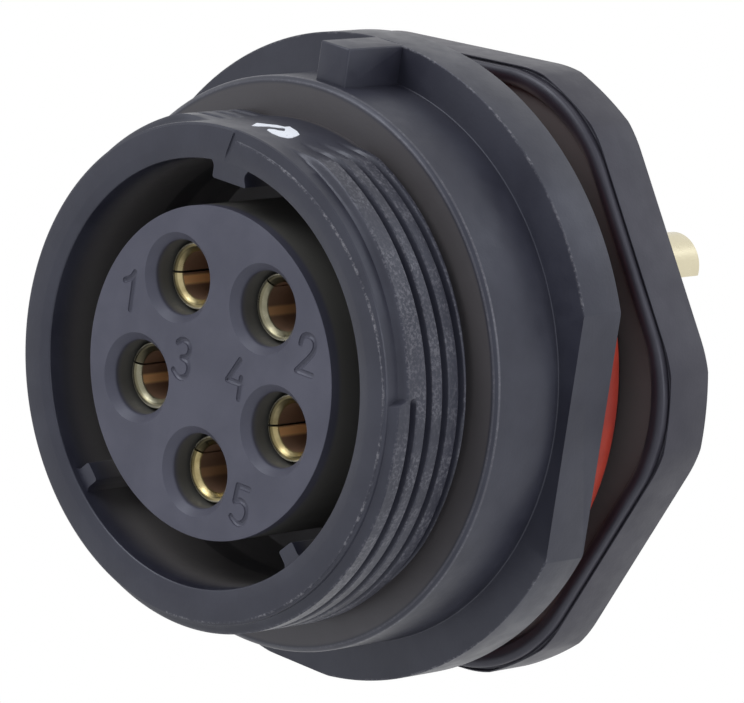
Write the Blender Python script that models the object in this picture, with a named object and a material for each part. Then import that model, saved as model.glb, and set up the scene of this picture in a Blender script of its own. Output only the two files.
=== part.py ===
"""Panel mount connector: a five-way threaded circular receptacle with socket contacts.

The connector's axis is world Y. Its mating end faces -Y, the main key is at +Z, and the
origin is the centre of the insert's front face. Lengths are in metres, and a depth is
measured back from the insert's face. Angles go clockwise from the key, seen from the front.
"""
import math

import bmesh
import bpy
from mathutils import Matrix, Vector

# Contact insert, from whose radius the shell's radii step out
INSERT_RADIUS = 0.0054
INSERT_EDGE = 0.00010
INSERT_FLANGE_THICKNESS = 0.0022
INSERT_GROOVE_WIDTH = 0.0011
INSERT_GROOVE_DEPTH = 0.0008

# Mouth, keys and the ring-shaped cavity round the insert
CAVITY_WIDTH = 0.00152
CAVITY_DEPTH = 0.0060
RIM_PROJECTION = 0.00042
RIM_CHAMFER = 0.00009
MOUTH_BEVEL_WIDTH = 0.00040
MOUTH_BEVEL_DEPTH = 0.00005
MAIN_KEY_WIDTH = 0.00135
MAIN_KEY_HEIGHT = 0.00054
SIDE_KEY_WIDTH = 0.00068
SIDE_KEY_HEIGHT = 0.00062
SIDE_KEY_ANGLE = math.radians(135.0)
KEY_ROOT_OVERLAP = 0.0003

# Front thread, a right-hand ridge on the smooth core that leads the plug's ring in
MOUTH_WALL = 0.00148
THREAD_DEPTH = 0.00032
THREAD_PITCH = 0.00074
THREAD_ROOT_FLAT = 0.00008
THREAD_FLANK_ANGLE = math.radians(22.0)
THREAD_FIRST_VALLEY = 0.00039
THREAD_VALLEYS = 4
THREAD_START_ANGLE = math.radians(80.0)
THREAD_START_DEPTH = -0.00013
THREAD_NEXT_TURN_DEPTH = 0.00036
LAND_HALF_ANGLE = math.radians(9.0)
LAND_EDGE_ANGLE = math.radians(3.0)
RELIEF_WIDTH = 0.00022

# Collar, lug and panel flange
COLLAR_STEP = 0.00098
COLLAR_LENGTH = 0.00294
COLLAR_FRONT = 0.00332
COLLAR_CHAMFER = 0.00015
FLANGE_STEP = 0.00128
FLANGE_THICKNESS = 0.0018
FLANGE_CHAMFER = 0.00008
FLANGE_FILLET = 0.00018
FLANGE_SIDE_CUT = 0.00071
FLANGE_BOTTOM_CUT = 0.00010
LUG_WIDTH = 0.00126
LUG_SETBACK = 0.00042

# Rear barrel, M16 x 1, with its bore
SHOULDER_WIDTH = 0.0015
SHOULDER_THICKNESS = 0.0012
BARREL_WALL = 0.0011
BARREL_LENGTH = 0.0055
BARREL_RELIEF_DEPTH = 0.0006
BARREL_RELIEF_WIDTH = 0.0008
BARREL_END_CHAMFER = 0.0004

# Clearances between pieces
FIT_CLEARANCE = 0.0003
SEAL_CLEARANCE = 0.0001

# Holes for the contacts, and the retainer behind the insert
CONTACT_CIRCLE_RADIUS = 0.003285
CONTACT_HOLE_RADIUS = 0.001215
CONTACT_HOLE_CHAMFER = 0.00026
RETAINER_THICKNESS = 0.0024
RETAINER_EDGE = 0.0002

# Socket contact with its solder bucket
CONTACT_RECESS = 0.00087
CONTACT_RADIUS = 0.00109
CONTACT_BORE_RADIUS = 0.00078
CONTACT_LIP_CHAMFER = 0.00018
CONTACT_LIP_EDGE = 0.00006
CONTACT_BORE_DEPTH = 0.0058
CONTACT_SLIT_WIDTH = 0.00020
CONTACT_SLIT_LENGTH = 0.0045
CONTACT_SHOULDER_RADIUS = 0.00150
CONTACT_SHOULDER_LENGTH = 0.0009
BUCKET_REACH = 0.00674
BUCKET_BORE_DEPTH = 0.0034
DRILL_POINT_ANGLE = math.radians(30.0)
BUCKET_OPENING_LENGTH = 0.0030
BUCKET_OPENING_SLOPE = math.radians(35.0)
BUCKET_TURN_FROM_SLIT = math.radians(235.0)

# Place of each contact on its circle, and how far its slit is turned
CONTACT_PLACES = {
    "contact_1": math.radians(-36.0),
    "contact_2": math.radians(36.0),
    "contact_3": math.radians(-108.0),
    "contact_4": math.radians(108.0),
    "contact_5": math.radians(180.0),
}
CONTACT_SLIT_TURNS = {
    "contact_1": math.radians(-97.0),
    "contact_2": math.radians(-55.0),
    "contact_3": math.radians(-78.0),
    "contact_4": math.radians(-100.0),
    "contact_5": math.radians(-60.0),
}

# Seals and the retaining ring
PANEL_SEAL_SECTION_RADIUS = 0.00069
INSERT_SEAL_SECTION_RADIUS = 0.00040
RETAINING_RING_THICKNESS = 0.0006
RETAINING_RING_WIDTH = 0.0009
RETAINING_GROOVE_DEPTH = 0.0003
RETAINING_RING_GAP_ANGLE = math.radians(36.0)

# Panel nut
NUT_GAP = 0.00103
NUT_WALL = 0.00203
NUT_CORNER_RISE = 0.00094
NUT_BODY_THICKNESS = 0.00188
NUT_LIP_HEIGHT = 0.00095
NUT_LIP_STEP = 0.00012
NUT_LIP_SLOPE = 0.00018
NUT_LIP_WIDTH = 0.00016
NUT_LIP_INNER_SLOPE = 0.00008
NUT_FLOOR_SETBACK = 0.00006
NUT_REAR_CHAMFER = 0.00006
NUT_BORE_CHAMFER = 0.0003
NUT_TURN = math.radians(-4.5)

# Smoothness of the round forms
ROUND_COLUMNS = 64
INNER_COLUMNS = 48
HOLE_COLUMNS = 20
CONTACT_COLUMNS = 18
SEAL_COLUMNS = 48
SEAL_SECTION_POINTS = 10
NUT_CORNER_POINTS = 5
NUT_FLAT_POINTS = 6
SMALLEST_STEP = 0.00001
CUT_OVERRUN = 0.0005
SHARP_EDGE_ANGLE = math.radians(30.0)

# Sizes that follow from the ones above
RIM_DEPTH = -RIM_PROJECTION
MOUTH_RADIUS = INSERT_RADIUS + CAVITY_WIDTH
THREAD_RADIUS = MOUTH_RADIUS + MOUTH_WALL
THREAD_CORE_RADIUS = THREAD_RADIUS - THREAD_DEPTH
THREAD_FLANK = THREAD_DEPTH * math.tan(THREAD_FLANK_ANGLE)
RELIEF_START = COLLAR_FRONT - RELIEF_WIDTH
COLLAR_RADIUS = THREAD_RADIUS + COLLAR_STEP
FLANGE_RADIUS = COLLAR_RADIUS + FLANGE_STEP
FLANGE_SIDE_FLAT = FLANGE_RADIUS - FLANGE_SIDE_CUT
FLANGE_BOTTOM_FLAT = FLANGE_RADIUS - FLANGE_BOTTOM_CUT
LUG_FRONT = COLLAR_FRONT + LUG_SETBACK
FLANGE_FRONT = COLLAR_FRONT + COLLAR_LENGTH
BARREL_BORE_RADIUS = INSERT_RADIUS + SHOULDER_WIDTH
BARREL_RADIUS = BARREL_BORE_RADIUS + BARREL_WALL
BARREL_RELIEF_RADIUS = BARREL_RADIUS - BARREL_RELIEF_DEPTH
FLANGE_REAR = FLANGE_FRONT + FLANGE_THICKNESS
BARREL_END = FLANGE_REAR + BARREL_LENGTH
BUCKET_END = BARREL_END + BUCKET_REACH
SHOULDER_REAR = CAVITY_DEPTH + SHOULDER_THICKNESS
INSERT_FLANGE_RADIUS = BARREL_BORE_RADIUS - FIT_CLEARANCE
INSERT_FLANGE_FRONT = SHOULDER_REAR + FIT_CLEARANCE
INSERT_REAR = INSERT_FLANGE_FRONT + INSERT_FLANGE_THICKNESS
RETAINER_FRONT = INSERT_REAR + SEAL_CLEARANCE
RETAINER_REAR = RETAINER_FRONT + RETAINER_THICKNESS
RING_FRONT = RETAINER_REAR + SEAL_CLEARANCE
RING_REAR = RING_FRONT + RETAINING_RING_THICKNESS
GROOVE_FRONT = RETAINER_REAR
GROOVE_REAR = RING_REAR + SEAL_CLEARANCE
GROOVE_RADIUS = BARREL_BORE_RADIUS + RETAINING_GROOVE_DEPTH
PANEL_SEAL_RADIUS = BARREL_RADIUS + SEAL_CLEARANCE + PANEL_SEAL_SECTION_RADIUS
PANEL_SEAL_DEPTH = FLANGE_REAR + SEAL_CLEARANCE + PANEL_SEAL_SECTION_RADIUS
NUT_FRONT = FLANGE_REAR + NUT_GAP
NUT_FLAT_RADIUS = BARREL_RADIUS + NUT_WALL
NUT_CORNER_RADIUS = NUT_FLAT_RADIUS + NUT_CORNER_RISE
NUT_BORE_RADIUS = BARREL_RADIUS + FIT_CLEARANCE

# Finish of each piece: colour, roughness and metallic value
FINISHES = {
    "black_nylon": ((0.060, 0.061, 0.075), 0.48, 0.0),
    "insert_plastic": ((0.090, 0.090, 0.115), 0.55, 0.0),
    "gold_plating": ((0.78, 0.60, 0.28), 0.25, 1.0),
    "red_silicone": ((0.55, 0.045, 0.025), 0.45, 0.0),
    "black_rubber": ((0.02, 0.02, 0.02), 0.60, 0.0),
    "spring_steel": ((0.35, 0.35, 0.36), 0.35, 1.0),
}


def clear_scene():
    """Removes every object of the start-up scene."""
    for item in list(bpy.data.objects):
        bpy.data.objects.remove(item)


def finish(name):
    """The material of a piece, made once and shared by the pieces of its kind."""
    if name in bpy.data.materials:
        return bpy.data.materials[name]
    colour, roughness, metallic = FINISHES[name]
    material = bpy.data.materials.new(name)
    material.use_nodes = True
    shader = material.node_tree.nodes["Principled BSDF"]
    shader.inputs["Base Color"].default_value = (*colour, 1.0)
    shader.inputs["Roughness"].default_value = roughness
    shader.inputs["Metallic"].default_value = metallic
    return material


def around(radius, angle, depth):
    """A point at a radius and clockwise angle from the key, a depth behind the insert's face."""
    return Vector((radius * math.sin(angle), depth, radius * math.cos(angle)))


def even_angles(count):
    """Evenly spaced angles of a full turn."""
    return [math.tau * step / count for step in range(count)]


def circle(radius, depth, angles):
    """One ring of a turned form."""
    return [around(radius, angle, depth) for angle in angles]


def loft(mesh, rings, joined_ends=False):
    """Adds the skin over rings of equal length: closed round a bore, or capped at both ends."""
    rows = [[mesh.verts.new(point) for point in ring] for ring in rings]
    count = len(rows[0])
    pairs = list(zip(rows, rows[1:]))
    if joined_ends:
        pairs.append((rows[-1], rows[0]))
    else:
        mesh.faces.new(rows[0])
        mesh.faces.new(reversed(rows[-1]))
    for near, far in pairs:
        for here in range(count):
            there = (here + 1) % count
            mesh.faces.new((near[here], far[here], far[there], near[there]))


def block(mesh, low, high):
    """Adds a rectangular block between two corners."""
    corners = [
        Vector((x, y, z)) for y in (low[1], high[1]) for x, z in
        ((low[0], low[2]), (high[0], low[2]), (high[0], high[2]), (low[0], high[2]))
    ]
    loft(mesh, [corners[:4], corners[4:]])


def new_object(name, mesh, material=None, parent=None):
    """Turns a bmesh into an object whose faces point out."""
    bmesh.ops.recalc_face_normals(mesh, faces=mesh.faces)
    data = bpy.data.meshes.new(name)
    mesh.to_mesh(data)
    mesh.free()
    data.shade_smooth()
    data.set_sharp_from_angle(angle=SHARP_EDGE_ANGLE)
    item = bpy.data.objects.new(name, data)
    bpy.context.scene.collection.objects.link(item)
    item.parent = parent
    if material:
        data.materials.append(finish(material))
    return item


def combine(target, tool, operation):
    """Cuts a tool from the target or joins it on, and leaves the tool out of the part."""
    tool.hide_render = True
    tool.display_type = "WIRE"
    change = target.modifiers.new(tool.name, "BOOLEAN")
    change.operation = operation
    change.solver = "EXACT"
    change.object = tool


def blend(first, second, share):
    """A value between two others."""
    return first + (second - first) * share


def thread_columns():
    """Angles of the shell's columns, with a close pair at each edge of the land."""
    first = LAND_HALF_ANGLE + LAND_EDGE_ANGLE
    last = math.tau - first
    threaded = [blend(first, last, step / (ROUND_COLUMNS - 1)) for step in range(ROUND_COLUMNS)]
    return [0.0, LAND_HALF_ANGLE, *threaded, math.tau - LAND_HALF_ANGLE]


def ridge_front_depth(angle):
    """Depth where the thread's ridge first rises from the core, which jumps where it starts."""
    if angle < THREAD_START_ANGLE:
        return THREAD_NEXT_TURN_DEPTH
    return THREAD_START_DEPTH + THREAD_PITCH * (angle - THREAD_START_ANGLE) / math.tau


def valley_depths(angle):
    """Depths of the thread's valleys at an angle: a right-hand helix."""
    turn_share = angle / math.tau
    return [THREAD_FIRST_VALLEY + THREAD_PITCH * (turn + turn_share) for turn in range(THREAD_VALLEYS)]


def thread_row_depths(angle):
    """Depths of the shell's rows in the threaded stretch at one angle, from front to back."""
    half_root = THREAD_ROOT_FLAT / 2.0
    half_valley = half_root + THREAD_FLANK
    front = ridge_front_depth(angle)
    rows = [front - THREAD_FLANK, front, RELIEF_START - THREAD_FLANK, RELIEF_START]
    for valley in valley_depths(angle):
        rows += [valley - half_valley, valley - half_root, valley + half_root, valley + half_valley]
    rows.sort()
    count = len(rows)
    for index in range(count):
        lowest = RIM_DEPTH + RIM_CHAMFER + SMALLEST_STEP * (index + 1)
        highest = COLLAR_FRONT - SMALLEST_STEP * (count - index)
        rows[index] = min(max(rows[index], lowest), highest)
    for index in range(1, count):
        rows[index] = max(rows[index], rows[index - 1] + SMALLEST_STEP)
    for index in reversed(range(count - 1)):
        rows[index] = min(rows[index], rows[index + 1] - SMALLEST_STEP)
    return rows


def thread_radius(depth, angle, on_land):
    """Radius of the threaded stretch at a depth and angle."""
    if on_land:
        return THREAD_CORE_RADIUS
    ahead = ridge_front_depth(angle) - depth
    behind = depth - RELIEF_START + THREAD_FLANK
    lost_share = min(max(ahead, behind, 0.0) / THREAD_FLANK, 1.0)
    for turn, valley in enumerate(valley_depths(angle)):
        if turn == 0 and angle < THREAD_START_ANGLE:
            continue
        away = max(abs(depth - valley) - THREAD_ROOT_FLAT / 2.0, 0.0)
        lost_share = max(lost_share, 1.0 - away / THREAD_FLANK)
    return THREAD_RADIUS - THREAD_DEPTH * lost_share


def thread_rings(angles):
    """Rings of the front thread, interrupted at the key by a land at the core's radius."""
    columns = [thread_row_depths(angle) for angle in angles]
    land = {0, 1, len(angles) - 1}
    columns[1] = columns[2]
    columns[-1] = columns[-2]
    columns[0] = [(left + right) / 2.0 for left, right in zip(columns[1], columns[-1])]
    rings = []
    for row in range(len(columns[0])):
        ring = []
        for index, angle in enumerate(angles):
            depth = columns[index][row]
            ring.append(around(thread_radius(depth, angle, index in land), angle, depth))
        rings.append(ring)
    return rings


def shell_rings():
    """The shell's turned section, round the outside from the rim and back through the bore."""
    angles = thread_columns()

    def rings(*section):
        return [circle(radius, depth, angles) for radius, depth in section]

    outside_front = rings(
        (MOUTH_RADIUS + MOUTH_BEVEL_WIDTH, RIM_DEPTH),
        (THREAD_CORE_RADIUS - RIM_CHAMFER, RIM_DEPTH),
        (THREAD_CORE_RADIUS, RIM_DEPTH + RIM_CHAMFER),
    )
    outside_rear = rings(
        (THREAD_CORE_RADIUS, COLLAR_FRONT),
        (COLLAR_RADIUS - COLLAR_CHAMFER, COLLAR_FRONT),
        (COLLAR_RADIUS, COLLAR_FRONT + COLLAR_CHAMFER),
        (COLLAR_RADIUS, FLANGE_FRONT - FLANGE_FILLET),
        (COLLAR_RADIUS + FLANGE_FILLET, FLANGE_FRONT),
        (FLANGE_RADIUS - FLANGE_CHAMFER, FLANGE_FRONT),
        (FLANGE_RADIUS, FLANGE_FRONT + FLANGE_CHAMFER),
        (FLANGE_RADIUS, FLANGE_REAR - FLANGE_CHAMFER),
        (FLANGE_RADIUS - FLANGE_CHAMFER, FLANGE_REAR),
        (BARREL_RELIEF_RADIUS, FLANGE_REAR),
        (BARREL_RELIEF_RADIUS, FLANGE_REAR + BARREL_RELIEF_WIDTH),
        (BARREL_RADIUS, FLANGE_REAR + BARREL_RELIEF_WIDTH + BARREL_RADIUS - BARREL_RELIEF_RADIUS),
        (BARREL_RADIUS, BARREL_END - BARREL_END_CHAMFER),
        (BARREL_RADIUS - BARREL_END_CHAMFER, BARREL_END),
    )
    inside = rings(
        (BARREL_BORE_RADIUS, BARREL_END),
        (BARREL_BORE_RADIUS, GROOVE_REAR),
        (GROOVE_RADIUS, GROOVE_REAR),
        (GROOVE_RADIUS, GROOVE_FRONT),
        (BARREL_BORE_RADIUS, GROOVE_FRONT),
        (BARREL_BORE_RADIUS, SHOULDER_REAR),
        (INSERT_RADIUS + FIT_CLEARANCE, SHOULDER_REAR),
        (INSERT_RADIUS + FIT_CLEARANCE, CAVITY_DEPTH),
        (MOUTH_RADIUS, CAVITY_DEPTH),
        (MOUTH_RADIUS, RIM_DEPTH + MOUTH_BEVEL_DEPTH),
    )
    return outside_front + thread_rings(angles) + outside_rear + inside


def key_tool(name, width, height, angle):
    """A key that stands in from the mouth's wall, over the whole depth of the cavity."""
    mesh = bmesh.new()
    half = width / 2.0
    block(
        mesh,
        (-half, RIM_DEPTH + MOUTH_BEVEL_DEPTH, MOUTH_RADIUS - height),
        (half, CAVITY_DEPTH + KEY_ROOT_OVERLAP, MOUTH_RADIUS + KEY_ROOT_OVERLAP),
    )
    bmesh.ops.rotate(mesh, verts=mesh.verts, matrix=Matrix.Rotation(angle, 3, "Y"))
    return new_object(name, mesh)


def lug_tool():
    """The lug on the collar that keys the connector to its panel, flush with the flange."""
    mesh = bmesh.new()
    half = LUG_WIDTH / 2.0
    top = math.sqrt(FLANGE_RADIUS ** 2 - half ** 2)
    block(
        mesh,
        (-half, LUG_FRONT, COLLAR_RADIUS - LUG_WIDTH / 2.0),
        (half, FLANGE_FRONT + FLANGE_THICKNESS / 2.0, top),
    )
    return new_object("lug_tool", mesh)


def flats_tool():
    """What the flange loses at its two side flats and its bottom flat."""
    mesh = bmesh.new()
    front = FLANGE_FRONT - CUT_OVERRUN
    rear = FLANGE_REAR + CUT_OVERRUN
    far = FLANGE_RADIUS + CUT_OVERRUN
    block(mesh, (FLANGE_SIDE_FLAT, front, -FLANGE_SIDE_FLAT), (far, rear, FLANGE_SIDE_FLAT))
    block(mesh, (-far, front, -FLANGE_SIDE_FLAT), (-FLANGE_SIDE_FLAT, rear, FLANGE_SIDE_FLAT))
    block(mesh, (-FLANGE_SIDE_FLAT / 2.0, front, -far), (FLANGE_SIDE_FLAT / 2.0, rear, -FLANGE_BOTTOM_FLAT))
    return new_object("flats_tool", mesh)


def make_shell(parent):
    """The moulded shell: mouth, front thread, collar, flange and rear barrel in one piece."""
    mesh = bmesh.new()
    loft(mesh, shell_rings(), joined_ends=True)
    shell = new_object("shell", mesh, "black_nylon", parent)
    combine(shell, key_tool("main_key_tool", MAIN_KEY_WIDTH, MAIN_KEY_HEIGHT, 0.0), "UNION")
    combine(shell, key_tool("left_key_tool", SIDE_KEY_WIDTH, SIDE_KEY_HEIGHT, -SIDE_KEY_ANGLE), "UNION")
    combine(shell, key_tool("right_key_tool", SIDE_KEY_WIDTH, SIDE_KEY_HEIGHT, SIDE_KEY_ANGLE), "UNION")
    combine(shell, lug_tool(), "UNION")
    combine(shell, flats_tool(), "DIFFERENCE")
    return shell


def contact_place(name):
    """Centre of a contact on the insert's face."""
    return around(CONTACT_CIRCLE_RADIUS, CONTACT_PLACES[name], 0.0)


def holes_tool(name, section):
    """Turned cutters on the five contact places, each of one section of radius and depth."""
    mesh = bmesh.new()
    angles = even_angles(HOLE_COLUMNS)
    for place in CONTACT_PLACES:
        centre = contact_place(place)
        loft(mesh, [[point + centre for point in circle(radius, depth, angles)] for radius, depth in section])
    return new_object(name, mesh)


def make_insert(parent):
    """The front insulator: a boss with five chamfered holes, and a flange that carries the seal."""
    angles = even_angles(ROUND_COLUMNS)
    groove_front = INSERT_FLANGE_FRONT + (INSERT_FLANGE_THICKNESS - INSERT_GROOVE_WIDTH) / 2.0
    groove_rear = groove_front + INSERT_GROOVE_WIDTH
    groove_radius = INSERT_FLANGE_RADIUS - INSERT_GROOVE_DEPTH
    section = (
        (INSERT_RADIUS - INSERT_EDGE, 0.0),
        (INSERT_RADIUS, INSERT_EDGE),
        (INSERT_RADIUS, INSERT_FLANGE_FRONT),
        (INSERT_FLANGE_RADIUS, INSERT_FLANGE_FRONT),
        (INSERT_FLANGE_RADIUS, groove_front),
        (groove_radius, groove_front),
        (groove_radius, groove_rear),
        (INSERT_FLANGE_RADIUS, groove_rear),
        (INSERT_FLANGE_RADIUS, INSERT_REAR),
    )
    mesh = bmesh.new()
    loft(mesh, [circle(radius, depth, angles) for radius, depth in section])
    insert = new_object("contact_insert", mesh, "insert_plastic", parent)
    shoulder_seat = INSERT_REAR - CONTACT_SHOULDER_LENGTH - SEAL_CLEARANCE
    hole = holes_tool("insert_holes_tool", (
        (CONTACT_HOLE_RADIUS + CONTACT_HOLE_CHAMFER + CUT_OVERRUN, -CUT_OVERRUN),
        (CONTACT_HOLE_RADIUS, CONTACT_HOLE_CHAMFER),
        (CONTACT_HOLE_RADIUS, shoulder_seat),
        (CONTACT_SHOULDER_RADIUS + SEAL_CLEARANCE, shoulder_seat),
        (CONTACT_SHOULDER_RADIUS + SEAL_CLEARANCE, INSERT_REAR + CUT_OVERRUN),
    ))
    combine(insert, hole, "DIFFERENCE")
    return insert


def make_retainer(parent):
    """The rear insulator, which holds the contacts' shoulders in the insert."""
    angles = even_angles(INNER_COLUMNS)
    section = (
        (INSERT_FLANGE_RADIUS - RETAINER_EDGE, RETAINER_FRONT),
        (INSERT_FLANGE_RADIUS, RETAINER_FRONT + RETAINER_EDGE),
        (INSERT_FLANGE_RADIUS, RETAINER_REAR - RETAINER_EDGE),
        (INSERT_FLANGE_RADIUS - RETAINER_EDGE, RETAINER_REAR),
    )
    mesh = bmesh.new()
    loft(mesh, [circle(radius, depth, angles) for radius, depth in section])
    retainer = new_object("contact_retainer", mesh, "insert_plastic", parent)
    hole = holes_tool("retainer_holes_tool", (
        (CONTACT_HOLE_RADIUS, RETAINER_FRONT - CUT_OVERRUN),
        (CONTACT_HOLE_RADIUS, RETAINER_REAR - CONTACT_HOLE_CHAMFER),
        (CONTACT_HOLE_RADIUS + CONTACT_HOLE_CHAMFER + CUT_OVERRUN, RETAINER_REAR + CUT_OVERRUN),
    ))
    combine(retainer, hole, "DIFFERENCE")
    return retainer


def contact_mesh():
    """The turned socket contact: a slit bore in front, a shoulder, and a drilled solder end."""
    shoulder_rear = INSERT_REAR - SEAL_CLEARANCE / 2.0
    shoulder_front = shoulder_rear - CONTACT_SHOULDER_LENGTH
    bore_end = CONTACT_RECESS + CONTACT_BORE_DEPTH
    bucket_bottom = BUCKET_END - BUCKET_BORE_DEPTH
    drill_point = CONTACT_BORE_RADIUS * math.tan(DRILL_POINT_ANGLE)
    section = (
        (CONTACT_BORE_RADIUS, CONTACT_RECESS + CONTACT_LIP_CHAMFER),
        (CONTACT_BORE_RADIUS + CONTACT_LIP_CHAMFER, CONTACT_RECESS),
        (CONTACT_RADIUS - CONTACT_LIP_EDGE, CONTACT_RECESS),
        (CONTACT_RADIUS, CONTACT_RECESS + CONTACT_LIP_EDGE),
        (CONTACT_RADIUS, shoulder_front),
        (CONTACT_SHOULDER_RADIUS, shoulder_front),
        (CONTACT_SHOULDER_RADIUS, shoulder_rear),
        (CONTACT_RADIUS, shoulder_rear),
        (CONTACT_RADIUS, BUCKET_END - CONTACT_LIP_EDGE),
        (CONTACT_RADIUS - CONTACT_LIP_EDGE, BUCKET_END),
        (CONTACT_BORE_RADIUS, BUCKET_END),
        (CONTACT_BORE_RADIUS, bucket_bottom),
    )
    angles = even_angles(CONTACT_COLUMNS)
    mesh = bmesh.new()
    rows = [[mesh.verts.new(point) for point in circle(radius, depth, angles)] for radius, depth in section]
    front_row = [mesh.verts.new(point) for point in circle(CONTACT_BORE_RADIUS, bore_end, angles)]
    rows.insert(0, front_row)
    for near, far in zip(rows, rows[1:]):
        for here in range(CONTACT_COLUMNS):
            there = (here + 1) % CONTACT_COLUMNS
            mesh.faces.new((near[here], far[here], far[there], near[there]))
    for row, tip_depth in ((rows[0], bore_end + drill_point), (rows[-1], bucket_bottom - drill_point)):
        tip = mesh.verts.new((0.0, tip_depth, 0.0))
        for here in range(CONTACT_COLUMNS):
            mesh.faces.new((row[here], row[(here + 1) % CONTACT_COLUMNS], tip))
    return mesh


def slit_tool():
    """The saw cut across the socket, which leaves two springs."""
    mesh = bmesh.new()
    half = CONTACT_SLIT_WIDTH / 2.0
    reach = CONTACT_RADIUS + CUT_OVERRUN
    block(mesh, (-half, CONTACT_RECESS - CUT_OVERRUN, -reach), (half, CONTACT_RECESS + CONTACT_SLIT_LENGTH, reach))
    return new_object("slit_tool", mesh)


def bucket_tool():
    """The milled opening along one side of the solder end, with a sloped start."""
    reach = CONTACT_RADIUS + CUT_OVERRUN
    start = BUCKET_END - BUCKET_OPENING_LENGTH
    rise = reach * math.tan(BUCKET_OPENING_SLOPE)
    end = BUCKET_END + CUT_OVERRUN
    outline = ((start, 0.0), (end, 0.0), (end, reach), (start - rise, reach))
    mesh = bmesh.new()
    loft(mesh, [[Vector((side, depth, height)) for depth, height in outline] for side in (-reach, reach)])
    bmesh.ops.rotate(mesh, verts=mesh.verts, matrix=Matrix.Rotation(BUCKET_TURN_FROM_SLIT, 3, "Y"))
    return new_object("bucket_tool", mesh)


def make_contacts(parent):
    """Five contacts of one mesh, each turned as it was left at assembly."""
    slit = slit_tool()
    bucket = bucket_tool()
    shared = new_object("contact_shape", contact_mesh(), "gold_plating")
    for name in CONTACT_PLACES:
        contact = bpy.data.objects.new(name, shared.data)
        bpy.context.scene.collection.objects.link(contact)
        contact.parent = parent
        contact.location = contact_place(name)
        contact.rotation_euler = (0.0, CONTACT_SLIT_TURNS[name], 0.0)
        for tool in (slit, bucket):
            local = bpy.data.objects.new(f"{name}_{tool.name}", tool.data)
            bpy.context.scene.collection.objects.link(local)
            local.parent = contact
            combine(contact, local, "DIFFERENCE")
    for spare in (shared, slit, bucket):
        bpy.data.objects.remove(spare)


def seal(name, radius, depth, section_radius, material, parent):
    """An O-ring of round section about the connector's axis."""
    angles = even_angles(SEAL_COLUMNS)
    mesh = bmesh.new()
    rings = [
        circle(radius + section_radius * math.cos(turn), depth + section_radius * math.sin(turn), angles)
        for turn in even_angles(SEAL_SECTION_POINTS)
    ]
    loft(mesh, rings, joined_ends=True)
    return new_object(name, mesh, material, parent)


def make_seals(parent):
    """The red panel seal against the flange, and the seal in the insert's groove."""
    seal(
        "panel_o_ring", PANEL_SEAL_RADIUS, PANEL_SEAL_DEPTH, PANEL_SEAL_SECTION_RADIUS,
        "red_silicone", parent,
    )
    groove_radius = INSERT_FLANGE_RADIUS - INSERT_GROOVE_DEPTH
    seal(
        "insert_seal", groove_radius + SEAL_CLEARANCE + INSERT_SEAL_SECTION_RADIUS,
        INSERT_FLANGE_FRONT + INSERT_FLANGE_THICKNESS / 2.0, INSERT_SEAL_SECTION_RADIUS,
        "black_rubber", parent,
    )


def make_retaining_ring(parent):
    """The open spring ring in the barrel's groove, behind the retainer."""
    outer = GROOVE_RADIUS - SEAL_CLEARANCE
    inner = outer - RETAINING_RING_WIDTH
    first = math.pi + RETAINING_RING_GAP_ANGLE / 2.0
    sweep = math.tau - RETAINING_RING_GAP_ANGLE
    mesh = bmesh.new()
    sections = []
    for step in range(SEAL_COLUMNS + 1):
        angle = first + sweep * step / SEAL_COLUMNS
        corners = ((inner, RING_FRONT), (outer, RING_FRONT), (outer, RING_REAR), (inner, RING_REAR))
        sections.append([around(radius, angle, depth) for radius, depth in corners])
    loft(mesh, sections)
    return new_object("retaining_ring", mesh, "spring_steel", parent)


def nut_angles():
    """Angles of the nut's columns: along each flat, and closely round each corner."""
    half_flat = math.acos(NUT_FLAT_RADIUS / NUT_CORNER_RADIUS)
    sixth = math.pi / 3.0
    angles = []
    for side in range(6):
        middle = side * sixth
        for step in range(NUT_FLAT_POINTS):
            angles.append(middle - half_flat + 2.0 * half_flat * step / NUT_FLAT_POINTS)
        for step in range(NUT_CORNER_POINTS):
            angles.append(middle + half_flat + (sixth - 2.0 * half_flat) * step / NUT_CORNER_POINTS)
    return angles


def hexagon(inset, depth):
    """The nut's outline, moved in by an inset: six flats with round corners."""
    ring = []
    sixth = math.pi / 3.0
    for angle in nut_angles():
        from_flat = (angle + sixth / 2.0) % sixth - sixth / 2.0
        flat_radius = (NUT_FLAT_RADIUS - inset) / math.cos(from_flat)
        ring.append(around(min(flat_radius, NUT_CORNER_RADIUS - inset), angle, depth))
    return ring


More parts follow.
